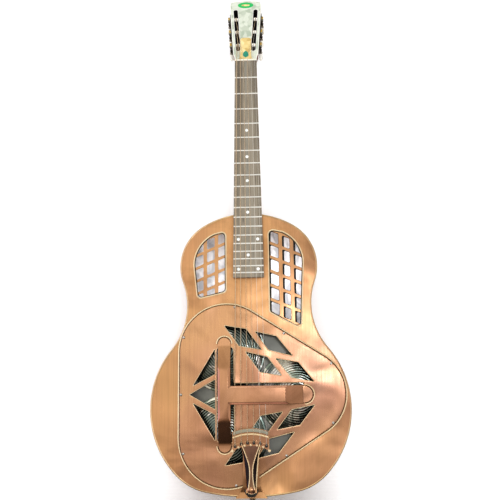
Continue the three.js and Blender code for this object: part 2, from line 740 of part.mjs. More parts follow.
function fretboard() {
  const board = plate(
    points2([
      [-boardHalf(NUT_Z), NUT_Z],
      [-boardHalf(BOARD_END_Z), BOARD_END_Z],
      [boardHalf(BOARD_END_Z), BOARD_END_Z],
      [boardHalf(NUT_Z), NUT_Z],
    ]),
    BOARD_Y,
    NECK_FACE_Y,
  );
  const frets = Array.from({ length: FRETS }, (_, i) => {
    const z = fretZ(i + 1);
    const half = boardHalf(z);
    const section = points2([
      [BOARD_Y + FRET.sunk, z - FRET.half],
      [BOARD_Y, z - FRET.half],
      [BOARD_Y - FRET_HEIGHT, z - FRET.half / 2],
      [BOARD_Y - FRET_HEIGHT, z + FRET.half / 2],
      [BOARD_Y, z + FRET.half],
      [BOARD_Y + FRET.sunk, z + FRET.half],
    ]);
    return prismX(section, -half, half);
  });
  return joined([board, ...frets]);
}

// The shaft's cross-sections: height, half-width and depth behind the fretboard.
const SHAFT = [
  [BODY_TOP_Z + 0.3, 26.6, 58],
  [BODY_TOP_Z + 6, 26.4, 56],
  [BODY_TOP_Z + 16, 26.2, 42],
  [BODY_TOP_Z + 30, 26, 31],
  [BODY_TOP_Z + 48, 25.8, 25],
  [BODY_TOP_Z + 75, 25.4, 22.5],
  [NUT_Z - 20, 21.9, 20],
  [NUT_Z - 6, 21.6, 19],
  [NUT_Z + 4.6, 21.5, 16.8],
];

const shaftSection = (z, half, depth) =>
  arc(0, 0, 1, 0, Math.PI, 10).map(
    (p) => new THREE.Vector3(half * Math.sign(p.x) * Math.abs(p.x) ** 0.85, NECK_FACE_Y + depth * p.y, z),
  );

const head = new THREE.Group();
head.position.set(0, HEAD.faceY, NUT_Z);
head.rotation.x = -degrees(HEAD.tilt);
head.updateMatrix();

const sides = { bass: -1, treble: 1 };
const sideFrames = Object.fromEntries(
  Object.entries(sides).map(([side, sign]) => {
    const frame = new THREE.Group();
    const edgeAtNut = HEAD_EDGE.lowX - HEAD_EDGE.lowZ * HEAD_EDGE.slope;
    frame.position.set(sign * edgeAtNut, POSTS.depth, 0);
    frame.rotation.y = sign * Math.atan(HEAD_EDGE.slope);
    frame.updateMatrix();
    head.add(frame);
    return [side, frame];
  }),
);
guitar.add(head);

const moved = (made, matrix) => solid(geometryOf(made).applyMatrix4(matrix));
const outward = (sign, from, to) => [sign * from, sign * to].sort((a, b) => a - b);

// The headstock's outline: concave shoulders, straight sides, a low crown.
function headOutline(fromZ, inset = 0) {
  const edge = (z) => HEAD_EDGE.lowX + (z - HEAD_EDGE.lowZ) * HEAD_EDGE.slope - inset;
  const half = [
    [21.5 - inset, fromZ],
    [21.7 - inset, 8],
    [22.6 - inset, 13],
    [24.2 - inset, 17.5],
    [edge(HEAD_EDGE.lowZ), HEAD_EDGE.lowZ],
    [edge(156), 156],
  ];
  const right = distinct([...points2(half), ...crownPoints(edge(156), inset)]);
  return [...right, ...right.slice(0, -1).reverse().map((p) => new THREE.Vector2(-p.x, p.y))];
}

const CROWN_R = 150;
const crownPoints = (edgeX, inset) =>
  arc(0, HEAD.top - CROWN_R - inset, CROWN_R, Math.acos((edgeX - 2) / CROWN_R), Math.PI / 2, 4);

const slotX = (z) => SLOT.lowX + (z - SLOT.fromZ) * SLOT.slope;

function slotOutline(sign) {
  const half = SLOT.width / 2;
  const lean = Math.atan(SLOT.slope);
  return [
    ...arc(slotX(SLOT.toZ - half), SLOT.toZ - half, half, -lean, Math.PI - lean, 6),
    ...arc(slotX(SLOT.fromZ + half), SLOT.fromZ + half, half, Math.PI - lean, 2 * Math.PI - lean, 6),
  ].map((p) => new THREE.Vector2(sign * p.x, p.y));
}

const slots = () => Object.values(sides).map((sign) => plate(slotOutline(sign), -5, HEAD.thickness + 5));

const POST = { inner: -19.5, rollerFrom: -14, rollerTo: -7.4, outer: 5.7 };

function neck() {
  const shaft = loft(SHAFT.map(([z, half, depth]) => shaftSection(z, half, depth)));
  const block = plate(headOutline(3), HEAD.veneer + FIT_GAP, HEAD.thickness).subtract(joined(slots()));
  const bores = Object.entries(sides).flatMap(([side, sign]) =>
    POSTS.z.map((z) => {
      const span = outward(sign, POST.inner - 0.7, 4);
      return moved(
        cylinderAlong("x", POSTS.shaftR + RUNNING_GAP, ...span, [0, 0, z]),
        sideFrames[side].matrix,
      );
    }),
  );
  const mortise = box(
    [-NECK_STICK.x - FIT_GAP, NECK_STICK.x + FIT_GAP],
    [NECK_STICK.front - FIT_GAP, NECK_STICK.back + FIT_GAP],
    [BODY_TOP_Z - 1, NECK_STICK.to + FIT_GAP],
  );
  return shaft.add(moved(block.subtract(joined(bores)), head.matrix)).subtract(mortise);
}

// The nut's top falls away behind the strings' bearing edge.
function nut() {
  const top = NUT_STRING_Y + 0.8;
  const section = [
    [NECK_FACE_Y, NUT_Z],
    [top, NUT_Z],
    [top, NUT_Z + 1.4],
    [top + 2.4, NUT_Z + 4.5],
    [NECK_FACE_Y, NUT_Z + 4.5],
  ];
  return prismX(points2(section), -BOARD.nutHalf, BOARD.nutHalf);
}

// The stick inside the body that carries the neck's pull to the tail, bored for the end pin.
function neckStick() {
  const { x, front, back, from, to } = NECK_STICK;
  const bore = cylinderAlong("z", END_PIN.shankR + FIT_GAP, from - 1, TAIL_Z + END_PIN.shank + 1, [
    0,
    END_PIN.y,
    0,
  ]);
  return box([-x, x], [front, back], [from, to]).subtract(bore);
}

// ---------- tuners ----------

const TUNER_PLATE = { from: 0.3, to: 1.7, front: -6, back: 7.4, low: 31, high: 128 };
const EAR = { to: 6, near: 4.3, far: 6.3, half: 2.7, boreR: 1.75 };
const KNOB = { y: 23.5, x: 3.8, half: [3.8, 8, 9], collarR: 2.7, collarFrom: 12, shaftTo: 22 };

function tunerPlate(sign) {
  const span = outward(sign, TUNER_PLATE.from, TUNER_PLATE.to);
  const base = box(span, [TUNER_PLATE.front, TUNER_PLATE.back], [TUNER_PLATE.low, TUNER_PLATE.high]);
  const ears = POSTS.z.flatMap((z) =>
    [-1, 1].map((end) => {
      const depth = [end * EAR.near, end * EAR.far].sort((a, b) => a - b);
      const across = outward(sign, TUNER_PLATE.to - 0.5, EAR.to);
      return box(across, depth, [z - WORM.drop - EAR.half, z - WORM.drop + EAR.half]);
    }),
  );
  const postHoles = POSTS.z.map((z) =>
    cylinderAlong("x", POSTS.shaftR + RUNNING_GAP, -5, 5, [0, 0, z]),
  );
  const wormHoles = POSTS.z.map((z) =>
    cylinderAlong("y", EAR.boreR, -9, 9, [sign * WORM.x, 0, z - WORM.drop]),
  );
  return joined([base, ...ears]).subtract(joined([...postHoles, ...wormHoles]));
}

function gearOutline() {
  const { teeth, outerR, rootR } = GEAR;
  const step = (2 * Math.PI) / teeth;
  return Array.from({ length: teeth }, (_, i) =>
    [[rootR, -0.3], [outerR, -0.14], [outerR, 0.14], [rootR, 0.3]].map(([r, at]) =>
      new THREE.Vector2(r, 0).rotateAround(new THREE.Vector2(), (i + at) * step),
    ),
  ).flat();
}

// A turned piece about X; the profile's second number is its X, mirrored for the bass side.
function turnedAlongX(profile, sign, segments) {
  const points = profile.map(([r, x]) => [r, sign * x]);
  const lathe = new THREE.LatheGeometry(points2(sign > 0 ? points : points.reverse()), segments);
  return solid(lathe.rotateZ(-Math.PI / 2));
}

function tunerPost(sign) {
  const { inner, rollerFrom, rollerTo, outer } = POST;
  const { shaftR, rollerR } = POSTS;
  const shaft = turnedAlongX(
    [
      [0, inner],
      [shaftR, inner],
      [shaftR, rollerFrom],
      [rollerR, rollerFrom],
      [rollerR, rollerTo],
      [shaftR, rollerTo],
      [shaftR, outer],
      [0, outer],
    ],
    sign,
    10,
  );
  return shaft.add(prismX(gearOutline(), ...outward(sign, GEAR.from, GEAR.to)));
}

function tunerShaft() {
  const { shaftR, radius } = WORM;
  return turned(
    [
      [0, -KNOB.shaftTo],
      [shaftR, -KNOB.shaftTo],
      [shaftR, -EAR.near + 0.4],
      [radius, -EAR.near + 0.4],
      [radius, EAR.near - 0.4],
      [shaftR, EAR.near - 0.4],
      [shaftR, EAR.far + 0.8],
      [0, EAR.far + 0.8],
    ],
    10,
  );
}

function tunerButton() {
  const [rx, ry, rz] = KNOB.half;
  const knob = solid(new THREE.SphereGeometry(1, 10, 7).scale(rx, ry, rz).translate(0, KNOB.y, 0));
  const collar = cylinderAlong("y", KNOB.collarR, KNOB.collarFrom, KNOB.y - 4);
  return knob.add(collar).subtract(cylinderAlong("y", EAR.boreR, 0, KNOB.shaftTo + FIT_GAP));
}

// ---------- strings ----------

const STRING_RADII = [0.66, 0.53, 0.42, 0.33, 0.25, 0.2]; // lowest string first
const NUT_PITCH = 7;
const SADDLE_PITCH = 10.8;

const inHead = (x, y, z) => new THREE.Vector3(x, y, z).applyMatrix4(head.matrix);

function string(n) {
  const radius = STRING_RADII[n - 1];
  const place = n - (STRINGS + 1) / 2;
  const sign = Math.sign(place);
  const post = POSTS.z[sign < 0 ? n - 1 : STRINGS - n];
  const [holeX, holeZ] = stringHole(n);
  const overRoller = POSTS.depth - POSTS.rollerR - radius - 0.2;
  const path = [
    new THREE.Vector3(holeX, -89.6, holeZ),
    new THREE.Vector3(holeX, -92.6, holeZ + 0.6),
    new THREE.Vector3(holeX, -93.1, holeZ + 1.6),
    new THREE.Vector3(place * SADDLE_PITCH, SADDLE_STRING_Y, SADDLE_Z),
    new THREE.Vector3(place * NUT_PITCH, NUT_STRING_Y - radius, NUT_Z + 1),
    inHead(sign * slotX(post), overRoller, post),
  ];
  return rod(path, radius, 5);
}

// ---------- assembly ----------

piece("top_plate", topPlate(), COPPER);
piece("rim", rim(), COPPER);
piece("back_plate", plate(body, -SHEET, 0), COPPER);
piece("sound_grille_bass", soundGrille("bass"), COPPER);
piece("sound_grille_treble", soundGrille("treble"), COPPER);
piece("soundwell", soundwell(), NICKEL);
piece("coverplate", coverplate(), COPPER);
piece("hand_rest", handRest(), COPPER);
screwPlaces().forEach(([x, z], i) => {
  piece(`coverplate_screw_${i + 1}`, screw(), NICKEL).position.set(x, FLANGE_Y, z);
});
conePlaces.forEach(([x, z], i) => {
  piece(`cone_${i + 1}`, cone(), ALUMINIUM).position.set(x, WELL_FLOOR_Y, z);
});
piece("t_bridge", bridge(), ALUMINIUM);
piece(
  "saddle",
  box(
    [-SADDLE.x, SADDLE.x],
    [SADDLE_STRING_Y + 0.9, BRIDGE.front + SADDLE.seat - 0.1],
    [SADDLE_Z - SADDLE.half, SADDLE_Z + SADDLE.half],
  ),
  MAPLE,
);
piece("tailpiece", tailpiece(), COPPER);
piece("tailpiece_bracket", tailpieceBracket(), COPPER);
piece(
  "tailpiece_hinge_pin",
  cylinderAlong("x", HINGE.pinR - 0.05, -HINGE.lugTo - 0.6, HINGE.lugTo + 0.6),
  STEEL,
).position.set(0, HINGE.y, HINGE.z);
piece(
  "end_pin",
  turned(
    [
      [0, -END_PIN.shank],
      [END_PIN.shankR, -END_PIN.shank],
      [END_PIN.shankR, 0.6],
      [END_PIN.headR - 1.5, 0.6],
      [END_PIN.headR - 2.5, 5],
      [END_PIN.headR, 8.5],
      [END_PIN.headR - 1, END_PIN.length - 1],
      [0, END_PIN.length],
    ],
    12,
  ),
  NICKEL,
).position.set(0, END_PIN.y, TAIL_Z);
guitar.children.at(-1).rotation.x = Math.PI / 2;
bracketScrews().forEach(([x, y], i) => {
  const made = piece(`bracket_screw_${i + 1}`, screw(), NICKEL);
  made.position.set(x, y, TAIL_Z - 0.12 - STRAP.thickness);
  made.rotation.x = Math.PI / 2;
});
piece("neck", neck(), MAHOGANY);
piece("neck_stick", neckStick(), MAPLE);
piece("fretboard", fretboard(), ROSEWOOD);
piece("nut", nut(), BONE);
piece(
  "headplate",
  plate(headOutline(HEAD.veneerFrom), 0, HEAD.veneer).subtract(joined(slots())),
  PEARLOID,
  head,
);

// The truss rod cover: a bell that narrows to the headstock's middle.
const coverCorners = [
  [-11.5, 7.5, 1.5],
  [11.5, 7.5, 1.5],
  [8.6, 17, 6],
  [9.5, 49, 6],
  [0, 59, 5],
  [-9.5, 49, 6],
  [-8.6, 17, 6],
];
piece("truss_rod_cover", plate(roundedPolygon(coverCorners), -2.3, -FIT_GAP), AMBER, head);

for (let n = 1; n <= STRINGS; n++) {
  piece(`string_${n}`, string(n), n <= 4 ? BRONZE : STEEL);
}
for (const [side, sign] of Object.entries(sides)) {
  const frame = sideFrames[side];
  piece(`tuner_plate_${side}`, tunerPlate(sign), NICKEL, frame);
  POSTS.z.forEach((z, i) => {
    const n = sign < 0 ? i + 1 : STRINGS - i;
    piece(`tuner_post_${n}`, tunerPost(sign), BRASS, frame).position.set(0, 0, z);
    const shaft = piece(`tuner_shaft_${n}`, tunerShaft(), STEEL, frame);
    shaft.position.set(sign * WORM.x, 0, z - WORM.drop);
    const button = piece(`tuner_button_${n}`, tunerButton(), PEARLOID, frame);
    button.position.copy(shaft.position);
  });
}

export default guitar;
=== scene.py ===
"""A metal-bodied resonator guitar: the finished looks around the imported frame.

Lengths are millimetres until a mesh is made, in the frame's axes: X across the guitar with the
thin strings at +X, Y from the strings (-Y) to the back (+Y), Z up the neck.
"""

import json
import math
from collections import defaultdict

import bmesh
import bpy
from mathutils import Matrix, Vector


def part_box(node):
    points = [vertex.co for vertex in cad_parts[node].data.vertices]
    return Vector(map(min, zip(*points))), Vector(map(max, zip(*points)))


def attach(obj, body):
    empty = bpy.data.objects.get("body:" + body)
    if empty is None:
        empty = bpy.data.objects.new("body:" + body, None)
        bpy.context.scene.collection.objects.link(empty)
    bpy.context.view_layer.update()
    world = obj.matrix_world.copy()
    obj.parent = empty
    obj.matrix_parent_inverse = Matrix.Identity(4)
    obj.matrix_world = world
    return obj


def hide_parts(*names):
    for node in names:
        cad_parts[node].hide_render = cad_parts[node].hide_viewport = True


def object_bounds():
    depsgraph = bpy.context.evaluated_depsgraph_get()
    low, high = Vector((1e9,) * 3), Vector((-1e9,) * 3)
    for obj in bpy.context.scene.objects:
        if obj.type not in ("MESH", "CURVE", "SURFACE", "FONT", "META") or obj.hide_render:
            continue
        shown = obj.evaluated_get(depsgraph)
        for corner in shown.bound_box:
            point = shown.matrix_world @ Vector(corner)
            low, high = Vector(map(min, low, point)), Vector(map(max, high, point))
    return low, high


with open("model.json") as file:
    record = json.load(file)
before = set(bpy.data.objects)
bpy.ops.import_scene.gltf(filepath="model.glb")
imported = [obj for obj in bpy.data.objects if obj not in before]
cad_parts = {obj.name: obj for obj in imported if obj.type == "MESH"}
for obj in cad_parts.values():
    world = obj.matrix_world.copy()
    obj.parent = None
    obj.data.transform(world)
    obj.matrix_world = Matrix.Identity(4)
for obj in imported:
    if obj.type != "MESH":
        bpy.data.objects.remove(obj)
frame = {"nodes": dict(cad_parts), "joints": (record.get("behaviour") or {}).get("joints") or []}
cad_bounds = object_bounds()
NODES = frame["nodes"]
JOINTS = {joint["name"]: joint for joint in frame["joints"]}
MM = 0.001


def box_mm(node):
    low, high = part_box(node)
    return low / MM, high / MM


# ---------- sizes read from the frame ----------

TOP_Y = box_mm("top_plate")[0].y
SHEET = box_mm("top_plate")[1].y - TOP_Y
TAIL_Z = box_mm("back_plate")[0].z
BODY_TOP_Z = box_mm("back_plate")[1].z
NUT_Z = box_mm("nut")[0].z
NUT_TOP_Y = box_mm("nut")[0].y
BOARD_FACE_Y = box_mm("fretboard")[0].y + 1
BOARD_BACK_Y = box_mm("fretboard")[1].y
BOARD_END_Z = box_mm("fretboard")[0].z
COVER_Y = box_mm("coverplate")[0].y
WELL_FLOOR_Y = box_mm("cone_1")[1].y
CONE_R = (box_mm("cone_1")[1].x - box_mm("cone_1")[0].x) / 2
CONE_APEX_Y = box_mm("cone_1")[0].y
SCALE_LENGTH = 635
FRET_12_Z = NUT_Z - SCALE_LENGTH / 2
AXIS_Z = 27.0  # centre line of the hand rest's leg
CROSS_X = -46.0  # centre line of the hand rest's long bar
FRETS = 19
STRINGS = range(1, 7)  # lowest string first

# ---------- small geometry ----------


def arc(cx, cz, r, start, end, steps):
    turns = (start + (end - start) * i / steps for i in range(steps + 1))
    return [(cx + r * math.cos(a), cz + r * math.sin(a)) for a in turns]


def distinct(points):
    kept = [p for i, p in enumerate(points) if math.dist(p, points[i - 1]) > 1e-3]
    return kept


def mirrored(half):
    """A whole outline from its right half, listed from the bottom centre to the top centre."""
    return distinct(half + [(-x, z) for x, z in reversed(half)])


def rounded(corners, steps=5):
    """A polygon whose corners (x, z, radius) are rounded as far as its sides allow."""
    outline = []
    count = len(corners)
    for i, (x, z, radius) in enumerate(corners):
        here = Vector((x, z))
        back = Vector(corners[i - 1][:2]) - here
        on = Vector(corners[(i + 1) % count][:2]) - here
        half = back.angle(on) / 2
        if radius == 0 or half > math.radians(87):
            outline.append((x, z))
            continue
        reach = min(radius / math.tan(half), 0.45 * back.length, 0.45 * on.length)
        r = reach * math.tan(half)
        start = here + back.normalized() * reach
        end = here + on.normalized() * reach
        centre = here + (back.normalized() + on.normalized()).normalized() * r / math.sin(half)
        a, b = start - centre, end - centre
        turn = math.atan2(a.x * b.y - a.y * b.x, a.dot(b))
        base = math.atan2(a.y, a.x)
        outline += arc(centre.x, centre.y, r, base, base + turn, steps)
    return distinct(outline)


def rounded_evenly(points, radius, steps=5):
    return rounded([(x, z, radius) for x, z in points], steps)


def clipped(polygon, a, b):
    """The part of a polygon to the left of the line from a to b."""
    side = lambda p: (b[0] - a[0]) * (p[1] - a[1]) - (b[1] - a[1]) * (p[0] - a[0])
    kept = []
    for i, p in enumerate(polygon):
        q = polygon[(i + 1) % len(polygon)]
        sp, sq = side(p), side(q)
        if sp >= 0:
            kept.append(p)
        if (sp >= 0) != (sq >= 0):
            t = sp / (sp - sq)
            kept.append((p[0] + (q[0] - p[0]) * t, p[1] + (q[1] - p[1]) * t))
    return kept


def area(polygon):
    return sum(
        polygon[i - 1][0] * p[1] - p[0] * polygon[i - 1][1] for i, p in enumerate(polygon)
    ) / 2


def simplified(points, tolerance):
    """Drops points that stand closer to their neighbour than the tolerance."""
    kept = []
    for p in points:
        if not kept or math.dist(p, kept[-1]) > tolerance:
            kept.append(p)
    if math.dist(kept[0], kept[-1]) <= tolerance:
        kept.pop()
    return kept


# ---------- the guitar's outlines ----------

UPPER = (38, 261, 90)
LOWER = (16, 3, 165)
WAIST_R = 125
CORNER_R = 105
TAIL = (0, TAIL_Z + 400, 400)


def centre_between(a, from_a, b, from_b):
    gap = math.dist(a[:2], b[:2])
    along = (from_a**2 - from_b**2 + gap**2) / (2 * gap)
    off = math.sqrt(from_a**2 - along**2)
    ux, uz = (b[0] - a[0]) / gap, (b[1] - a[1]) / gap
    side = 1 if uz > 0 else -1
    return a[0] + ux * along + side * uz * off, a[1] + uz * along - side * ux * off


WAIST = centre_between(UPPER, UPPER[2] + WAIST_R, LOWER, LOWER[2] + WAIST_R)
CORNER = centre_between(LOWER, LOWER[2] - CORNER_R, TAIL, TAIL[2] - CORNER_R)
SHOULDER_R = (UPPER[0] ** 2 + (BODY_TOP_Z - UPPER[1]) ** 2 - UPPER[2] ** 2) / (
    2 * (BODY_TOP_Z - UPPER[1] - UPPER[2])
)
SHOULDER = (0, BODY_TOP_Z - SHOULDER_R)


def bearing(a, b):
    return math.atan2(b[1] - a[1], b[0] - a[0])


def body_outline(inset=0.0):
    at_corner, at_lower = bearing(TAIL, CORNER), bearing(LOWER, CORNER)
    at_waist, at_upper = bearing(LOWER, WAIST), bearing(UPPER, WAIST)
    waist_start, waist_end = bearing(WAIST, LOWER) + 2 * math.pi, bearing(WAIST, UPPER)
    at_shoulder = bearing(SHOULDER, UPPER)
    half = arc(*TAIL[:2], TAIL[2] - inset, -math.pi / 2, at_corner, 12)
    half += arc(*CORNER, CORNER_R - inset, at_corner, at_lower, 15)
    half += arc(*LOWER[:2], LOWER[2] - inset, at_lower, at_waist, 27)
    half += arc(*WAIST, WAIST_R + inset, waist_start, waist_end, 18)
    half += arc(*UPPER[:2], UPPER[2] - inset, at_upper, at_shoulder, 27)
    half += arc(*SHOULDER, SHOULDER_R - inset, at_shoulder, math.pi / 2, 9)
    return mirrored(distinct(half))


BIG = (-42, 75.5, 87)  # the coverplate's corner circle above its axis; one below mirrors it
NOSE = (94.5, 0, 78)
NOSE_BEARING = math.atan2(BIG[1], NOSE[0] - BIG[0])
TANGENT = math.pi / 2 - NOSE_BEARING - math.asin((BIG[2] - NOSE[2]) / math.dist(BIG[:2], NOSE[:2]))


def cover_outline(inset=0.0, steps=22):
    upper = arc(NOSE[0], 0, NOSE[2] - inset, 0, TANGENT, steps)
    upper += arc(BIG[0], BIG[1], BIG[2] - inset, TANGENT, math.pi, steps + 10)
    lower = [(x, -z) for x, z in reversed(upper[1:])]
    return distinct([(x, AXIS_Z + z) for x, z in upper + lower])


def cover_inset(x, z):
    """How far inside the coverplate's edge a point is."""
    z = abs(z - AXIS_Z)
    normal = (math.cos(TANGENT), math.sin(TANGENT))
    side = BIG[2] - (x - BIG[0]) * normal[0] - (z - BIG[1]) * normal[1]
    left = x - (BIG[0] - BIG[2])
    turn_big = math.atan2(z - BIG[1], x - BIG[0])
    turn_nose = math.atan2(z, x - NOSE[0])
    if turn_big > TANGENT and z > BIG[1]:
        return BIG[2] - math.dist((x, z), BIG[:2])
    if turn_nose < TANGENT and x > NOSE[0]:
        return NOSE[2] - math.dist((x, z), NOSE[:2])
    return min(side, left)


HOLE_ARCH_R = 63
HOLE_LOW_X = 94.5
HOLES = {  # inner edge, centre height of the arch, inner and outer foot
    "bass": (43, UPPER[1] + 3, 213, 201),
    "treble": (38.5, UPPER[1] + 5.5, 174.5, 143.5),
}
SIDES = {"bass": -1, "treble": 1}
LETTERS = {-1: "b", 1: "t"}  # for the names of small pieces on each side


def sound_hole(side, grow=0.0):
    sign = SIDES[side]
    inner_x, arch_z, inner_z, outer_z = HOLES[side]
    arch = arc(UPPER[0], arch_z, HOLE_ARCH_R + grow, math.radians(66), math.radians(-6), 20)
    corners = [
        (inner_x - grow, inner_z - grow, 7),
        (inner_x - grow, arch_z + HOLE_ARCH_R + grow, 9),
        *[(x, z, 0) for x, z in arch],
        (HOLE_LOW_X + grow, outer_z - grow, 7),
    ]
    return rounded([(sign * x, z, r) for x, z, r in corners], 6)


# ---------- building meshes ----------


def settle(piece, materials, node=None, body="guitar", smooth_angle=35, slot=None):
    """Puts a finished mesh, still in millimetres, into the frame, in a CAD node's place if one is named."""
    mesh = piece.data
    mesh.transform(Matrix.Scale(MM, 4))
    if isinstance(materials, bpy.types.Material):
        materials = [materials]
    for material in materials:
        mesh.materials.append(material)
    for face in mesh.polygons:
        face.use_smooth = True
    mesh.set_sharp_from_angle(angle=math.radians(smooth_angle))
    flat = piece.modifiers.new("flat_faces", "WEIGHTED_NORMAL")
    flat.keep_sharp = True
    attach(piece, body)
    if node:
        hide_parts(node)
    slot or SLOT_OF[materials[0].name]


def placed(name, data, place=Matrix()):
    """A new object that shows a mesh moved by a matrix, or a curve or camera as it is."""
    if isinstance(data, bpy.types.Mesh):
        data.transform(place)
    piece = bpy.data.objects.new(name, data)
    bpy.context.scene.collection.objects.link(piece)
    return piece


def from_bmesh(name, bm, place=Matrix()):
    mesh = bpy.data.meshes.new(name)
    bmesh.ops.recalc_face_normals(bm, faces=bm.faces)
    bm.to_mesh(mesh)
    bm.free()
    return placed(name, mesh, place)


def baked(piece):
    """The final mesh of an object with its modifiers or its curve's thickness."""
    bpy.context.view_layer.update()
    return bpy.data.meshes.new_from_object(piece.evaluated_get(bpy.context.evaluated_depsgraph_get()))


def from_curve(name, curve, place=Matrix()):
    """A curve's final mesh as a new object, moved by a matrix."""
    holder = placed(name + "_curve", curve)
    mesh = baked(holder)
    mesh.name = name
    bpy.data.objects.remove(holder)
    bpy.data.curves.remove(curve)
    mesh.materials.clear()
    piece = placed(name, mesh, place)
    merged(piece)
    return piece


def add_spline(curve, points, closed):
    """A straight-sided spline through points of two or three coordinates."""
    spline = curve.splines.new("POLY")
    spline.points.add(len(points) - 1)
    spline.points.foreach_set("co", [v for p in points for v in ((*p, 0)[:3] + (1,))])
    spline.use_cyclic_u = closed


# A flat drawing's x and y become X and Z; its thickness lies along Y.
FACING = Matrix(((1, 0, 0, 0), (0, 0, -1, 0), (0, 1, 0, 0), (0, 0, 0, 1)))


def sheet(name, outline, front, back, holes=(), bevel=0.3, place=Matrix()):
    """A plate with holes and rounded edges, drawn in X and Z, from front to back along Y."""
    curve = bpy.data.curves.new(name, "CURVE")
    curve.dimensions = "2D"
    curve.fill_mode = "BOTH"
    for points in [outline, *holes]:
        add_spline(curve, points, True)
    curve.bevel_depth = bevel
    curve.bevel_resolution = 2
    curve.extrude = (back - front) / 2 - bevel
    curve.offset = -bevel
    return from_curve(name, curve, place @ Matrix.Translation((0, (front + back) / 2, 0)) @ FACING)


def merged(piece, distance=1e-3):
    bm = bmesh.new()
    bm.from_mesh(piece.data)
    bmesh.ops.remove_doubles(bm, verts=bm.verts, dist=distance)
    bmesh.ops.recalc_face_normals(bm, faces=bm.faces)
    bm.to_mesh(piece.data)
    bm.free()


def tube(name, points, radius, closed=False):
    """A round bar through points."""
    curve = bpy.data.curves.new(name, "CURVE")
    curve.dimensions = "3D"
    add_spline(curve, points, closed)
    curve.bevel_depth = radius
    curve.bevel_resolution = 3
    curve.use_fill_caps = not closed
    return from_curve(name, curve)


def turned(name, profile, segments, place=Matrix()):
    """A turned piece about +Z of its own frame; the profile is (radius, height) from axis to axis."""
    bm = bmesh.new()
    rings = []
    for r, h in profile:
        if r < 1e-6:
            rings.append([bm.verts.new((0, 0, h))])
            continue
        turns = (2 * math.pi * i / segments for i in range(segments))
        rings.append([bm.verts.new((r * math.cos(a), r * math.sin(a), h)) for a in turns])
    for low, high in zip(rings, rings[1:]):
        skin(bm, low, high, segments)
    return from_bmesh(name, bm, place)


def facing(x, y, z):
    """A place where a turned piece's own axis points forward, along -Y."""
    return Matrix.Translation((x, y, z)) @ Matrix.Rotation(math.pi / 2, 4, "X")


def round_head(radius, seat, rise):
    """The rounded part of a screw's profile, from its rim almost to its middle."""
    turns = (i * math.pi / 12 for i in range(6))
    return [(radius * math.cos(a), seat + rise * math.sin(a)) for a in turns]


def skin(bm, low, high, segments):
    for i in range(segments):
        j = (i + 1) % segments
        corners = [low[i % len(low)], low[j % len(low)], high[j % len(high)], high[i % len(high)]]
        unique = list(dict.fromkeys(corners))
        if len(unique) > 2:
            bm.faces.new(unique)


def lofted(name, rings, capped=True, place=Matrix()):
    """A skin through rings of points with one count."""
    bm = bmesh.new()
    loops = [[bm.verts.new(p) for p in ring] for ring in rings]
    for low, high in zip(loops, loops[1:]):
        skin(bm, low, high, len(low))
    if capped:
        bm.faces.new(loops[0][::-1])
        bm.faces.new(loops[-1])
    return from_bmesh(name, bm, place)


def softened(node, bevel, segments):
    """A copy of a CAD node with clean flat faces and rounded edges, in millimetres."""
    bm = bmesh.new()
    bm.from_mesh(NODES[node].data)
    bmesh.ops.transform(bm, matrix=Matrix.Scale(1 / MM, 4), verts=bm.verts)
    bmesh.ops.remove_doubles(bm, verts=bm.verts, dist=1e-3)
    bmesh.ops.dissolve_limit(bm, angle_limit=math.radians(1), verts=bm.verts, edges=bm.edges)
    sharp = [e for e in bm.edges if e.is_manifold and e.calc_face_angle(0) > math.radians(28)]
    rounding = {"offset": bevel, "segments": segments, "profile": 0.5, "clamp_overlap": True}
    bmesh.ops.bevel(bm, geom=sharp, affect="EDGES", **rounding)
    bmesh.ops.triangulate(bm, faces=[f for f in bm.faces if len(f.verts) > 4])
    return from_bmesh(node + "_formed", bm)


def joined(name, pieces):
    """Several meshes as one object."""
    bm = bmesh.new()
    for piece in pieces:
        bm.from_mesh(piece.data)
        mesh = piece.data
        bpy.data.objects.remove(piece)
        bpy.data.meshes.remove(mesh)
    mesh = bpy.data.meshes.new(name)
    bm.to_mesh(mesh)
    bm.free()
    return placed(name, mesh)


# ---------- materials ----------


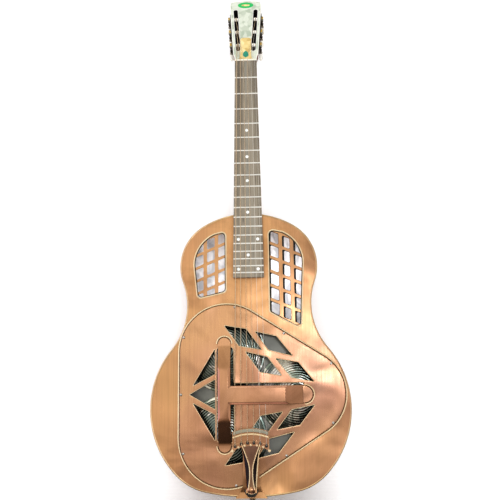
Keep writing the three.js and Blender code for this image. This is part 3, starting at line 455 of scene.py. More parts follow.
class Nodes:
    """A short way to write a node tree, of a new material or of a given tree."""

    def __init__(self, name="", tree=None):
        if tree is None:
            self.material = bpy.data.materials.new(name)
            self.material.use_nodes = True
            tree = self.material.node_tree
        self.tree = tree
        self.shader = tree.nodes.get("Principled BSDF")

    def put(self, node, inputs):
        """Links sockets and sets plain values on a node's inputs."""
        for key, value in inputs.items():
            if isinstance(value, bpy.types.NodeSocket):
                self.tree.links.new(value, node.inputs[key])
            elif isinstance(value, tuple) and len(value) == 3 and node.inputs[key].type == "RGBA":
                node.inputs[key].default_value = (*value, 1)
            else:
                node.inputs[key].default_value = value

    def add(self, kind, inputs=None, **settings):
        node = self.tree.nodes.new("ShaderNode" + kind)
        for key, value in settings.items():
            setattr(node, key, value)
        self.put(node, inputs or {})
        return node

    def coords(self, kind="Object"):
        return self.add("TexCoord").outputs[kind]

    def noise(self, scale=1.0, detail=3.0, stretch=(1, 1, 1), roughness=0.5, distortion=0.0):
        place = self.add("Mapping", {"Vector": self.coords(), "Scale": stretch}).outputs["Vector"]
        shape = {"Scale": scale, "Detail": detail, "Roughness": roughness, "Distortion": distortion}
        return self.add("TexNoise", {"Vector": place, **shape}).outputs["Fac"]

    def ramp(self, factor, stops):
        node = self.add("ValToRGB", {"Fac": factor})
        elements = node.color_ramp.elements
        while len(elements) < len(stops):
            elements.new(0.5)
        for element, (position, colour) in zip(elements, stops):
            element.position = position
            element.color = (*colour, 1)
        return node.outputs["Color"]

    def spread(self, factor, low, high, start=0.0, end=1.0):
        """A factor's range start..end mapped to low..high."""
        ends = {"From Min": start, "From Max": end, "To Min": low, "To Max": high}
        return self.add("MapRange", {"Value": factor, **ends}).outputs["Result"]

    def mix(self, factor, first, second, blend="MIX"):
        sides = {0: factor, 6: first, 7: second}
        return self.add("Mix", sides, data_type="RGBA", blend_type=blend).outputs[2]

    def math(self, operation, first, second):
        return self.add("Math", {0: first, 1: second}, operation=operation).outputs[0]

    def axis(self, letter, coords):
        return self.add("SeparateXYZ", {0: coords}).outputs[letter]

    def bump(self, height, strength, distance, normal=None):
        inputs = {"Height": height, "Strength": strength, "Distance": distance}
        if normal:
            inputs["Normal"] = normal
        result = self.add("Bump", inputs).outputs["Normal"]
        self.put(self.shader, {"Normal": result})
        return result

    def set(self, **values):
        names = {key: key.replace("_", " ").title().replace("Ior", "IOR") for key in values}
        self.put(self.shader, {names[key]: value for key, value in values.items()})
        return self.material


def edge_highlight_mask(n, width=0.0008):
    """1 near convex edges, 0 on flat areas: the mask for a highlight painted along edges."""
    flat = n.add("NewGeometry").outputs["Normal"]
    soft = n.add("Bevel", {"Radius": width}, samples=4).outputs["Normal"]
    likeness = n.add("VectorMath", {0: flat, 1: soft}, operation="DOT_PRODUCT").outputs["Value"]
    return n.spread(likeness, 1.0, 0.0, 0.8, 0.99)


def copper(
    name,
    warm=(0.77, 0.44, 0.23),
    cool=(0.64, 0.33, 0.20),
    dark=(0.34, 0.17, 0.08),
    roughness=0.3,
    coat=0.35,
    metallic=1.0,
    wave=0.010,
):
    """Antique copper plate, brushed up and down, with golden and pink patches, painted shade in its nooks and
    a highlight painted along its edges.
    """
    n = Nodes(name)
    patches = n.noise(scale=5.5, detail=2, stretch=(1, 1, 0.8))
    strokes = n.noise(scale=620, detail=4, stretch=(1, 1, 0.015))
    fine = n.noise(scale=1500, detail=2, stretch=(1, 1, 0.02))
    base = n.mix(n.spread(patches, 0, 1, 0.38, 0.62), warm, cool)
    smoke = n.noise(scale=8, detail=5, roughness=0.62, distortion=0.9)
    smoky = n.mix(n.spread(smoke, 0, 0.5, 0.46, 0.64), base, dark)
    stroked = n.mix(n.spread(strokes, 0, 0.2, 0.42, 0.75), smoky, dark)
    # Painted shade: darker where ambient occlusion finds nooks beside other parts.
    nook = n.add("AmbientOcclusion", {"Distance": 0.012}, samples=6)
    nook_shaded = n.mix(n.spread(nook.outputs["AO"], 0.75, 0.0, 0.35, 0.95), stroked, dark)
    # Painted highlight: a pale colour along convex edges.
    edge = n.mix(edge_highlight_mask(n), nook_shaded, (0.95, 0.68, 0.42))
    smudge = n.noise(scale=30, detail=5, roughness=0.7)
    brushed = n.spread(strokes, roughness - 0.04, roughness + 0.1)
    rough = n.math("ADD", brushed, n.spread(smudge, -0.05, 0.08))
    waves = n.noise(scale=9, detail=1.5, distortion=0.4)
    n.bump(fine, strength=0.12, distance=0.00005, normal=n.bump(waves, strength=1.0, distance=wave))
    return n.set(base_color=edge, metallic=metallic, roughness=rough, coat_weight=coat, coat_roughness=0.2)


def plain_metal(name, colour, roughness, metallic=1.0):
    """Plated or polished metal, cloudy and finely scratched, with a highlight painted along its edges."""
    n = Nodes(name)
    cloud = n.noise(scale=18, detail=4, roughness=0.65)
    grain = n.noise(scale=900, detail=2)
    shade = tuple(c * 0.72 for c in colour)
    base = n.mix(n.spread(cloud, 0, 0.6, 0.4, 0.7), colour, shade)
    bright = tuple(min(1, c * 1.18) for c in colour)
    # Painted highlight: a brighter colour along convex edges.
    edge = n.mix(edge_highlight_mask(n, 0.0003), base, bright)
    n.bump(grain, strength=0.08, distance=0.00003)
    rough = n.spread(cloud, roughness - 0.04, roughness + 0.1)
    return n.set(base_color=edge, metallic=metallic, roughness=rough)


def spun_aluminium():
    """Spun cone metal, in shades of grey green, with painted highlight streaks that run round and across the
    rings.
    """
    n = Nodes("spun_aluminium")
    cloud = n.noise(scale=24, detail=5, roughness=0.7)
    glint_noise = n.noise(scale=21, detail=3, distortion=1.8)
    base = n.mix(n.spread(cloud, 0, 1, 0.35, 0.65), (0.18, 0.23, 0.21), (0.38, 0.44, 0.41))
    # Painted highlight: near-white streaks in the base colour.
    bright = n.mix(n.spread(glint_noise, 0, 0.9, 0.545, 0.60), base, (1.0, 1.0, 0.98))
    n.bump(n.noise(scale=700, detail=2), strength=0.1, distance=0.00004)
    return n.set(base_color=bright, metallic=1.0, roughness=n.spread(cloud, 0.16, 0.3))


def rosewood():
    n = Nodes("rosewood")
    bands = n.noise(scale=75, detail=4, stretch=(1, 1, 0.03), roughness=0.6, distortion=0.4)
    pores = n.noise(scale=900, detail=2, stretch=(1, 1, 0.03))
    base = n.ramp(bands, [
        (0.30, (0.13, 0.105, 0.08)),
        (0.44, (0.23, 0.195, 0.145)),
        (0.56, (0.33, 0.285, 0.22)),
        (0.70, (0.26, 0.25, 0.21)),
    ])
    pored = n.mix(n.spread(pores, 0, 0.75, 0.58, 0.72), base, (0.05, 0.032, 0.025))
    n.bump(pores, strength=0.3, distance=-0.0001)
    return n.set(base_color=pored, roughness=n.spread(bands, 0.42, 0.6))


def mahogany():
    n = Nodes("mahogany")
    figure = n.noise(scale=34, detail=5, stretch=(1, 1, 0.05), roughness=0.65, distortion=0.5)
    pores = n.noise(scale=700, detail=2, stretch=(1, 1, 0.035))
    reds = [(0.3, (0.10, 0.035, 0.018)), (0.55, (0.23, 0.085, 0.04)), (0.75, (0.33, 0.14, 0.065))]
    base = n.ramp(figure, reds)
    pored = n.mix(n.spread(pores, 0, 0.6, 0.6, 0.75), base, (0.06, 0.02, 0.012))
    n.bump(pores, strength=0.08, distance=-0.00005)
    return n.set(base_color=pored, roughness=0.32, coat_weight=0.8, coat_roughness=0.08)


def maple():
    n = Nodes("maple")
    grain = n.noise(scale=60, detail=4, stretch=(1, 1, 0.06), distortion=0.3)
    base = n.ramp(grain, [(0.3, (0.42, 0.27, 0.14)), (0.7, (0.66, 0.47, 0.28))])
    n.bump(grain, strength=0.1, distance=0.00005)
    return n.set(base_color=base, roughness=0.5)


def bone():
    n = Nodes("bone")
    cloud = n.noise(scale=120, detail=4, stretch=(0.3, 1, 1))
    base = n.mix(cloud, (0.86, 0.80, 0.64), (0.93, 0.90, 0.80))
    n.bump(cloud, strength=0.08, distance=0.00005)
    return n.set(base_color=base, roughness=0.3, subsurface_weight=0.15, subsurface_scale=0.002)


def pearloid(name, light, tint, shade, scale=95):
    """Swirled pearl plastic: cells with bright and dull faces under a clear coat."""
    n = Nodes(name)
    coords = n.coords()
    warp = n.add("TexNoise", {"Vector": coords, "Scale": scale * 0.7, "Detail": 2})
    swirl = {"Vector": n.mix(0.012, coords, warp.outputs["Color"]), "Scale": scale, "Smoothness": 0.5}
    cells = n.add("TexVoronoi", swirl, feature="SMOOTH_F1")
    tone = n.add("SeparateColor", {0: cells.outputs["Color"]})
    base = n.ramp(tone.outputs[0], [(0.0, shade), (0.35, tint), (0.7, light), (1.0, light)])
    n.bump(cells.outputs["Distance"], strength=0.05, distance=0.0002)
    rough = n.spread(tone.outputs[1], 0.16, 0.34)
    clear = {"coat_weight": 0.7, "coat_roughness": 0.06, "sheen_weight": 0.1}
    return n.set(base_color=base, roughness=rough, **clear)


def wound_string(name, core, pitch):
    """Wrap wire shown as fine ridges along the string, with shade painted in the grooves between the turns.
    """
    n = Nodes(name)
    turns = n.math("SINE", n.math("MULTIPLY", n.axis("Z", n.coords()), 2 * math.pi / pitch), 0.0)
    ridge = n.spread(turns, 0, 1, -1, 1)
    shade = tuple(c * 0.35 for c in core)
    # Painted shade: the grooves between the turns are darker.
    base = n.mix(n.spread(ridge, 0.0, 1.0, 0.1, 0.8), shade, core)
    n.bump(ridge, strength=0.5, distance=0.00008)
    return n.set(base_color=base, metallic=0.6, roughness=0.34)


def plain_plastic(name, colour, roughness=0.3, glow=0.0):
    n = Nodes(name)
    # glow makes a part emit light though it is no lamp: a painted glow.
    if glow:
        n.set(emission_color=(1, 0.97, 0.88), emission_strength=glow)
    cloud = n.noise(scale=160, detail=3)
    base = n.mix(cloud, tuple(c * 0.86 for c in colour), colour)
    n.bump(cloud, strength=0.05, distance=0.00005)
    return n.set(base_color=base, roughness=roughness, coat_weight=0.4)


def pale_lining():
    """The pale plated inside of the back, seen through the sound holes."""
    n = Nodes("inside_lining")
    cloud = n.noise(scale=34, detail=4, stretch=(1, 1, 0.6), distortion=1.4)
    base = n.mix(n.spread(cloud, 0, 1, 0.40, 0.56), (0.52, 0.53, 0.55), (0.93, 0.93, 0.93))
    n.bump(cloud, strength=0.03, distance=0.0004)
    return n.set(base_color=base, metallic=0.0, roughness=n.spread(cloud, 0.3, 0.5))


COPPER = copper("antique_copper", roughness=0.26)
COVER_COPPER = copper("cover_copper", warm=(0.74, 0.43, 0.25), cool=(0.66, 0.35, 0.24), roughness=0.24)
REST_COPPER = copper(
    "rest_copper", warm=(0.74, 0.42, 0.25), cool=(0.64, 0.34, 0.22), roughness=0.16, wave=0.004
)
# Paler copper that paints highlights on beads, rims, ridges and lips.
HIGHLIGHT_COPPER = copper(
    "highlight_copper", warm=(1.0, 0.86, 0.58), cool=(0.98, 0.78, 0.50), dark=(0.7, 0.45, 0.22), metallic=0.45
)
# Paler copper that paints highlights on the body's rolled seams.
SEAM_HIGHLIGHT = copper("seam_highlight", warm=(0.98, 0.74, 0.42), cool=(0.90, 0.62, 0.36), metallic=0.8)
RIB_COPPER = copper("rib_copper", warm=(0.50, 0.29, 0.18), cool=(0.36, 0.20, 0.15), dark=(0.14, 0.07, 0.05))
# Very dark metal for the tuner plates.
DARK_PLATE_METAL = plain_metal("dark_plate_metal", (0.10, 0.09, 0.07), 0.32)
NICKEL = plain_metal("nickel", (0.66, 0.65, 0.62), 0.24)
FRET_METAL = plain_metal("fret_metal", (0.95, 0.94, 0.88), 0.5, 0.35)
STEEL = plain_metal("plain_steel", (0.62, 0.62, 0.60), 0.22)
STRING_STEEL = plain_metal("string_steel", (0.94, 0.90, 0.80), 0.3, 0.6)
BRASS = plain_metal("brass", (0.92, 0.71, 0.30), 0.24)
WELL_METAL = plain_metal("well_metal", (0.30, 0.31, 0.30), 0.42)
SPUN = spun_aluminium()
ROSEWOOD = rosewood()
MAHOGANY = mahogany()
MAPLE = maple()
BONE = bone()
CREAM = plain_plastic("cream_binding", (0.93, 0.92, 0.86))
# Glows a little: painted light that brightens the rollers.
ROLLER_GLOW_CREAM = plain_plastic("roller_glow_cream", (0.95, 0.94, 0.88), 0.22, 0.4)
GREEN = plain_plastic("green_inlay", (0.02, 0.52, 0.13), 0.25)
TEAL = plain_plastic("teal_border", (0.01, 0.30, 0.20), 0.28)
MOSS = plain_plastic("moss_border", (0.10, 0.20, 0.12), 0.3)
# Near-black copper that paints shadow lines beside beads and feet.
SHADOW_LINE = copper("shadow_line", warm=(0.14, 0.07, 0.04), cool=(0.10, 0.05, 0.03), dark=(0.03, 0.02, 0.01))
# Dark violet copper that paints shade and dark reflection on the tailpiece's skirts.
SHADE_VIOLET = copper(
    "shade_violet", warm=(0.11, 0.08, 0.08), cool=(0.06, 0.045, 0.05), dark=(0.02, 0.015, 0.02), roughness=0.14
)
GREY_METAL = plain_metal("grey_metal", (0.46, 0.44, 0.38), 0.2)
# Black that paints shade: in holes, gaps, behind the lattices and on the slot walls.
PAINTED_SHADOW = plain_plastic("painted_shadow_black", (0.012, 0.012, 0.013), 0.7)
HEAD_PEARL = pearloid("head_pearl", (0.68, 0.72, 0.61), (0.54, 0.59, 0.48), (0.40, 0.47, 0.36))
BUTTON_PEARL = pearloid("button_pearl", (0.92, 0.90, 0.82), (0.84, 0.80, 0.70), (0.70, 0.66, 0.56), 130)
AMBER_PEARL = pearloid("amber_pearl", (0.88, 0.72, 0.36), (0.76, 0.57, 0.22), (0.55, 0.37, 0.12), 110)
DOT_PEARL = pearloid("dot_pearl", (0.96, 0.96, 0.94), (0.88, 0.90, 0.88), (0.74, 0.78, 0.76), 260)
LINING = pale_lining()
WOUND = [wound_string(f"wound_string_{n}", (0.98, 0.76, 0.50), 0.00042 - 0.00005 * n) for n in (1, 2, 3, 4)]

# The materials listed under each of the record's material slots; any other material is looked up as the
# copper's.
SLOTS = {
    "nickel": (NICKEL, DARK_PLATE_METAL),
    "plain_steel": (STEEL, STRING_STEEL, FRET_METAL),
    "brass": (BRASS, ROLLER_GLOW_CREAM),
    "spun_aluminium": (SPUN,),
    "rosewood": (ROSEWOOD,),
    "mahogany": (MAHOGANY,),
    "maple": (MAPLE,),
    "bone": (BONE, CREAM),
    "pearloid": (HEAD_PEARL, BUTTON_PEARL, DOT_PEARL, GREEN),
    "amber": (AMBER_PEARL, MOSS, TEAL),
    "wound_bronze": WOUND,
}
SLOT_OF = defaultdict(lambda: "antique_copper")
for look, group in SLOTS.items():
    SLOT_OF.update({material.name: look for material in group})

# ---------- body shell ----------


def swept_edge(name, outline, radius, y, material):
    """A round bead that follows an outline at one depth, for rolled edges and for painted highlight and
    shadow lines.
    """
    settle(tube(name, [(x, y, z) for x, z in outline], radius, closed=True), material)


def make_body():
    holes = [sound_hole("bass", 0.6), sound_hole("treble", 0.6), cover_outline(8)]
    top = sheet("body_top", body_outline(2.4), TOP_Y, TOP_Y + SHEET, holes, bevel=0.3)
    settle(top, COPPER, "top_plate")

    # The side is one band, its seams rolled where it meets the two plates.
    depths = [TOP_Y + SHEET, TOP_Y + 6, TOP_Y + 20, TOP_Y / 2, -20, -6, -SHEET]
    outer, inner = body_outline(0.2), body_outline(SHEET + 0.2)
    rings = [[(x, y, z) for x, z in outer] for y in depths]
    rings += [[(x, y, z) for x, z in inner] for y in reversed(depths)]
    band = lofted("body_side", rings + rings[:1], capped=False)
    merged(band)
    settle(band, COPPER, "rim")

    back = sheet("body_back", body_outline(0.2), -SHEET, -0.05, bevel=0.4)
    for face in back.data.polygons:
        face.material_index = 1 if face.normal.y < -0.9 else 0
    settle(back, [COPPER, LINING], "back_plate")

    # The rolled seams get a paler copper: painted highlights.
    for name, radius, y in (("front_seam", 1.8, TOP_Y + 1.2), ("back_seam", 1.5, -1.6)):
        swept_edge(name, body_outline(radius + 0.2), radius, y, SEAM_HIGHLIGHT)


UPRIGHT_WIDTH = 7.4
RAIL_WIDTH = 6.2
UPRIGHTS = (60, 81)
RAIL_SLOPE = math.tan(math.radians(23))
RAIL_TOP_Z = 304.7
RAIL_PITCH = {"bass": 24.2, "treble": 26.6}
GRILLE_LAP = 4
MIN_WINDOW = 14  # square millimetres: a smaller opening is left closed


def grille_windows(side, hole, inner_grow, grow):
    """The openings between the lattice bars: each cell cut to the given shape. A cell's side
    nearest the neck moves out by inner_grow, its other sides by grow."""
    sign, inner_x, pitch = SIDES[side], HOLES[side][0], RAIL_PITCH[side]
    half = UPRIGHT_WIDTH / 2
    first, second = UPRIGHTS
    starts = (inner_x - (2 if inner_grow > 0 else 0), first + half, second + half)
    ends = (first - half, second - half, inner_x + 90)
    outline = hole if area(hole) > 0 else hole[::-1]
    windows = []
    for start, end in zip(starts, ends):
        x0, x1 = start - inner_grow, end + grow
        drop0, drop1 = RAIL_SLOPE * (x0 - inner_x), RAIL_SLOPE * (x1 - inner_x)
        for row in range(-3, 9):
            top = RAIL_TOP_Z - row * pitch - RAIL_WIDTH / 2 + grow
            low = top - pitch + RAIL_WIDTH - 2 * grow
            cell = [(x0, low - drop0), (x1, low - drop1), (x1, top - drop1), (x0, top - drop0)]
            cell = [(sign * x, z) for x, z in cell[::sign]]
            window = outline
            for a, b in zip(cell, cell[1:] + cell[:1]):
                window = window and clipped(window, a, b)
            if len(window) > 2 and abs(area(window)) > MIN_WINDOW:
                windows.append(rounded_evenly(simplified(window, 1.2), 2.0, 3))
    return windows


# The band of painted shade inside each opening of the treble lattice, and the thin one at the bass.
SHADE_BAND = {"bass": (0.6, 0.6), "treble": (-3.2, -0.2)}


def make_grilles():
    """Each lattice, the rolled edge of its hole painted as a highlight, a painted shadow line inside the edge
    and a backing painted black as shade.
    """
    front = TOP_Y + SHEET + 0.3
    back = front + SHEET + 0.4
    for side in SIDES:
        windows = grille_windows(side, sound_hole(side, 1.6), 0.35, 0.35)
        outline = sound_hole(side, GRILLE_LAP)
        lattice = sheet(f"grille_{side}", outline, front, front + SHEET, windows, 0.35)
        settle(lattice, COPPER, f"sound_grille_{side}")
        # A rim painted as a highlight, and a black ring painted as the shadow inside it.
        swept_edge(f"sound_hole_edge_{side}", sound_hole(side, 1.2), 1.4, TOP_Y + 0.9, HIGHLIGHT_COPPER)
        swept_edge(f"sound_hole_gap_{side}", sound_hole(side, -0.9), 0.75, TOP_Y + SHEET + 0.2, PAINTED_SHADOW)
        # A black backing painted as shade behind the lattice's openings.
        windows = grille_windows(side, sound_hole(side, 0.4), *SHADE_BAND[side])
        outline = sound_hole(side, GRILLE_LAP - 0.5)
        settle(sheet(f"grille_backing_{side}", outline, back, back + 1, windows, 0.1), PAINTED_SHADOW)


# ---------- coverplate ----------

CUTOUTS = [
    [(-47, 123.5), (-5.5, 116.5), (23.4, 77.5), (-19.3, 85)],
    [(9.2, 112), (49.2, 102.7), (78.8, 66), (33.7, 77.3)],
    [(-9, 75.8), (31.9, 65.5), (58.6, 31), (18.1, 37.8)],
    [(45.4, 63.1), (87.7, 55.3), (116.4, 19.6), (73.8, 27.6)],
    [(-104.5, 14), (-62.5, 35.5), (-62.5, 82.5)],
]
LEFT_CUTOUT = [(-110, 0), (-62.5, 27), (-62.5, -27)]
LONG_OPENING = (-60.5, -29, 84.5)
LEG_OPENING = (97, -11, 19.5)
COVER_EDGE_Y = TOP_Y - 2.5
DOME_STEP = 7  # spacing of the cuts that let the coverplate bend


def dome_rise(x, z):
    """How far the coverplate's very low dome stands proud of its edge."""
    t = min(max((cover_inset(x, z) - 4) / 46, 0), 1)
    return (COVER_Y - COVER_EDGE_Y) * t * t * (3 - 2 * t)


def cover_holes():
    cut = [[(x, AXIS_Z + z) for x, z in c] for c in CUTOUTS]
    cut += [[(x, AXIS_Z - z) for x, z in reversed(c)] for c in CUTOUTS]
    cut.append([(x, AXIS_Z + z) for x, z in LEFT_CUTOUT])
    holes = [rounded_evenly(points, 1.0, 2) for points in cut]
    left, right, half = LONG_OPENING
    far, low, high = LEG_OPENING
    t_shape = [
        (left, -half, 8),
        (right, -half, 8),
        (right, low, 1),
        (far, low, 4),
        (far, high, 4),
        (right, high, 1),
        (right, half, 8),
        (left, half, 8),
    ]
    holes.append(rounded([(x, AXIS_Z + z, r) for x, z, r in t_shape], 5))
    return holes


def make_coverplate():
    plate = sheet("cover", cover_outline(2.0), COVER_EDGE_Y, TOP_Y - 0.1, cover_holes(), bevel=0.9)
    bm = bmesh.new()
    bm.from_mesh(plate.data)
    for normal, start, stop in ((Vector((1, 0, 0)), -140, 180), (Vector((0, 0, 1)), -150, 200)):
        for at in range(start, stop, DOME_STEP):
            geometry = bm.verts[:] + bm.edges[:] + bm.faces[:]
            plane = {"plane_co": normal * at, "plane_no": normal}
            bmesh.ops.bisect_plane(bm, geom=geometry, dist=1e-4, **plane)
    for vert in bm.verts:
        vert.co.y += dome_rise(vert.co.x, vert.co.z)
    bm.to_mesh(plate.data)
    bm.free()
    settle(plate, COVER_COPPER, "coverplate", smooth_angle=30)
    # A bead painted as a highlight round the coverplate's edge, and a dark line painted as shadow inside it.
    swept_edge("cover_bead", cover_outline(-0.4), 1.35, TOP_Y - 0.5, HIGHLIGHT_COPPER)
    swept_edge("cover_shadow_line", cover_outline(1.4), 0.9, TOP_Y - 0.5, SHADOW_LINE)
    # Each opening's lip painted as a highlight.
    for i, hole in enumerate(cover_holes()):
        lip = [(x, COVER_EDGE_Y + dome_rise(x, z) + 0.35, z) for x, z in hole]
        settle(tube(f"cover_lip_{i + 1}", lip, 0.6, closed=True), HIGHLIGHT_COPPER)


SCREW_R = 2.5
SCREW_RISE = 1.3
SCREW_SLOT = (4.4, 0.64, 0.7)


def make_screw(name, node):
    """A round-headed, slotted screw in the place of a plain one."""
    low, high = box_mm(node)
    centre = (low + high) / 2
    if (high - low).z > (high - low).y * 1.2:
        seat = Matrix.Translation((centre.x, centre.y, low.z + SCREW_RISE))
        place = seat @ Matrix.Rotation(math.pi, 4, "X")
    else:
        on_cover = "cover" in node
        face = COVER_EDGE_Y + dome_rise(centre.x, centre.z) if on_cover else low.y + SCREW_RISE
        place = facing(centre.x, face, centre.z)
    turn = Matrix.Rotation(centre.x * 0.37 + centre.z * 0.21, 4, "Z")
    shank = [(0, -5.5), (1.2, -5), (1.2, -0.1), (SCREW_R, 0)]
    head = turned(name, shank + round_head(SCREW_R, 0.35, SCREW_RISE - 0.35) + [(0, SCREW_RISE)], 28)
    bm = bmesh.new()
    size = Matrix.Diagonal((*SCREW_SLOT, 1))
    bmesh.ops.create_cube(bm, size=1, matrix=Matrix.Translation((0, 0, 0.97)) @ size)
    bmesh.ops.bevel(bm, geom=bm.edges[:], offset=0.02, segments=1, affect="EDGES", profile=0.5)
    slot = from_bmesh(name + "_slot", bm)
    cut = head.modifiers.new("slot", "BOOLEAN")
    cut.object = slot
    cut.operation = "DIFFERENCE"
    cut.solver = "EXACT"
    done = baked(head)
    head.modifiers.clear()
    head.data = done
    bpy.data.objects.remove(slot)
    head.data.transform(place @ turn)
    settle(head, NICKEL, node, smooth_angle=40)


# ---------- cones, bridge, hand rest ----------


def cone_profile():
    """A spun cone: rolled rim, a trough with rings, a steep flank with fine steps, a flat cap."""
    depth = WELL_FLOOR_Y - CONE_APEX_Y
    outer = [(CONE_R, 0), (CONE_R, 0.8), (CONE_R - 1.5, 1.6), (CONE_R - 4, 1.4)]
    rings = 15
    for i in range(rings * 4 + 1):
        t = i / (rings * 4)
        r = (CONE_R - 5) + (8 - (CONE_R - 5)) * t
        ripple = 0.35 * math.sin(2 * math.pi * i / 4) if t < 0.9 else 0
        outer.append((r, 2 + (depth - 2.6) * t ** 0.9 + ripple))
    outer += [(6, depth - 0.2), (4, depth), (0, depth)]
    under = [(0, depth - 0.7), (6, depth - 1), (CONE_R - 6, 1), (CONE_R - 2, 0.2), (CONE_R, 0)]
    return outer + under


def make_cones():
    for i in (1, 2, 3):
        low, high = box_mm(f"cone_{i}")
        place = facing((low.x + high.x) / 2, WELL_FLOOR_Y, (low.z + high.z) / 2)
        cone = turned(f"spun_cone_{i}", cone_profile()[::-1], 72, place)
        settle(cone, SPUN, f"cone_{i}", smooth_angle=60)


SOFTENED = [  # CAD node, size and steps of its rounded edges, material, smoothing angle
    ("t_bridge", 0.5, 3, SPUN, 35),
    ("saddle", 0.5, 3, MAPLE, 35),
    ("hand_rest", 0.9, 4, REST_COPPER, 13),
    ("tailpiece", 0.45, 3, REST_COPPER, 24),
    ("tailpiece_bracket", 0.3, 2, COPPER, 35),
    ("tailpiece_hinge_pin", 0.3, 2, NICKEL, 50),
    ("end_pin", 0.3, 2, NICKEL, 50),
    ("nut", 0.5, 3, BONE, 35),
    ("tuner_plate_bass", 0.3, 2, DARK_PLATE_METAL, 35),
    ("tuner_plate_treble", 0.3, 2, DARK_PLATE_METAL, 35),
]


def make_softened():
    """Nodes whose CAD shape is kept and only gets rounded edges, and two that only get a material."""
    for node, bevel, steps, material, angle in SOFTENED:
        settle(softened(node, bevel, steps), material, node, smooth_angle=angle)
    for node, material in (("soundwell", WELL_METAL), ("neck_stick", MAPLE)):
        mesh = NODES[node].data
        mesh.materials.clear()
        mesh.materials.append(material)


REST_HALF = 11.4
REST_END = 89.6  # the long bar's rounded ends, from the leg's centre line
REST_LEG_END = 97.5
REST_LEG_FOOT = 14.6
REST_LEG_Z = 25.2


def make_rest_ends():
    """A painted shadow line and a bead painted as a highlight round each foot of the hand rest."""
    ends = [
        (CROSS_X, AXIS_Z + REST_END, REST_HALF, math.pi / 2),
        (CROSS_X, AXIS_Z - REST_END, REST_HALF, -math.pi / 2),
        (REST_LEG_END, REST_LEG_Z, REST_LEG_FOOT, 0),
    ]
    # The 'seam' ring is a painted shadow line, the 'bead' ring a painted highlight.
    rings = (("seam", 0.3, 0.8, 0.1, SHADOW_LINE), ("bead", 2.6, 1.1, 0.5, HIGHLIGHT_COPPER))
    for i, (x0, z0, r, aim) in enumerate(ends):
        for kind, gap, size, lift, material in rings:
            half_ring = arc(x0, z0, r + gap, aim - math.pi / 2, aim + math.pi / 2, 24)
            points = [(x, COVER_EDGE_Y + dome_rise(x, z) - lift, z) for x, z in half_ring]
            settle(tube(f"rest_{kind}_{i + 1}", points, size), material, smooth_angle=60)


# ---------- neck and fretboard ----------

BOARD_NUT_HALF = 21.5
BOARD_BODY_HALF = 26.7


def board_half(z):
    run = (NUT_Z - z) / (NUT_Z - FRET_12_Z)
    return BOARD_NUT_HALF + run * (BOARD_BODY_HALF - BOARD_NUT_HALF)


def fret_z(n):
    return NUT_Z - SCALE_LENGTH * (1 - 2 ** (-n / 12))


def make_fretboard():
    corners = [
        (-board_half(NUT_Z), NUT_Z - 0.05),
        (-board_half(BOARD_END_Z), BOARD_END_Z),
        (board_half(BOARD_END_Z), BOARD_END_Z),
        (board_half(NUT_Z), NUT_Z - 0.05),
    ]
    board = sheet("board", corners, BOARD_FACE_Y, BOARD_BACK_Y, bevel=0.35)
    settle(board, ROSEWOOD, "fretboard")
    for n in range(1, FRETS + 1):
        make_fret(n)
    make_dots()


def make_fret(n):
    """A half-round crown with filed ends, on a tang sunk in the board."""
    z = fret_z(n)
    half = board_half(z) - 0.15
    crown = [(1.2 * math.cos(a), 0.95 * math.sin(a)) for a in (math.pi * i / 8 for i in range(9))]
    section = [(-0.5, -0.45)] + [(-x, h) for x, h in crown] + [(0.5, -0.45)]
    stations = [(-half, 0.35), (-half + 0.8, 1), (half - 0.8, 1), (half, 0.35)]
    rings = [
        [(x, BOARD_FACE_Y - h * (k if h > 0 else 1), z + w) for w, h in section] for x, k in stations
    ]
    fret = lofted(f"fret_{n:02d}", rings)
    settle(fret, FRET_METAL, smooth_angle=50)


def make_dots():
    single = (5, 7, 9, 12, 17)
    double = (15, 19)
    places = [(0, n) for n in single] + [(s * 18, n) for n in double for s in (-1, 1)]
    for x, n in places:
        z = (fret_z(n) + fret_z(n - 1)) / 2
        profile = [(0, -0.6), (3, -0.6), (3, 0.02), (2.8, 0.1), (0, 0.12)]
        name = f"dot_{n:02d}_{'c' if x == 0 else 'b' if x < 0 else 't'}"
        settle(turned(name, profile, 32, facing(x, BOARD_FACE_Y, z)), DOT_PEARL)


KNOB_AXIS = JOINTS["knob_1_turn"]["axis"]
HEAD_TILT = math.atan2(-KNOB_AXIS[2], KNOB_AXIS[1])
HEAD = Matrix.Translation((0, TOP_Y - 2, NUT_Z)) @ Matrix.Rotation(-HEAD_TILT, 4, "X")
HEAD_THICKNESS = 16
VENEER = 1.5
HEAD_TOP = 163
CROWN_Z = 152  # where the sides end and the crown's corners begin
CROWN_R = 150
EDGE_LOW = (25, 21)
EDGE_SLOPE = 0.058
SLOT_X = 15.2
SLOT_SPAN = (28, 139)
SLOT_SLOPE = 0.05
SLOT_WIDTH = 8.8
ROLLER_R = 3.2
AXLE_R = 2.2


def head_edge(z):
    return EDGE_LOW[0] + (z - EDGE_LOW[1]) * EDGE_SLOPE


def head_outline(start, inset=0.0):
    """Concave shoulders, straight sides and a low crown."""
    shoulder = [(21.5, start), (21.6, 8), (21.9, 11), (22.6, 14), (23.6, 17), (24.5, 19.3)]
    half = [(x - inset, z, 0) for x, z in shoulder + [(head_edge(21.5), 21.5)]]
    half.append((head_edge(CROWN_Z) - inset, CROWN_Z - inset, 4))
    turn = math.acos((head_edge(CROWN_Z + 4) - inset - 2) / CROWN_R)
    crown = arc(0, HEAD_TOP - CROWN_R - inset, CROWN_R, turn, math.pi / 2, 10)
    return mirrored(rounded(half + [(x, z, 0) for x, z in crown], 4))


def slot_x(z):
    return SLOT_X + (z - SLOT_SPAN[0]) * SLOT_SLOPE


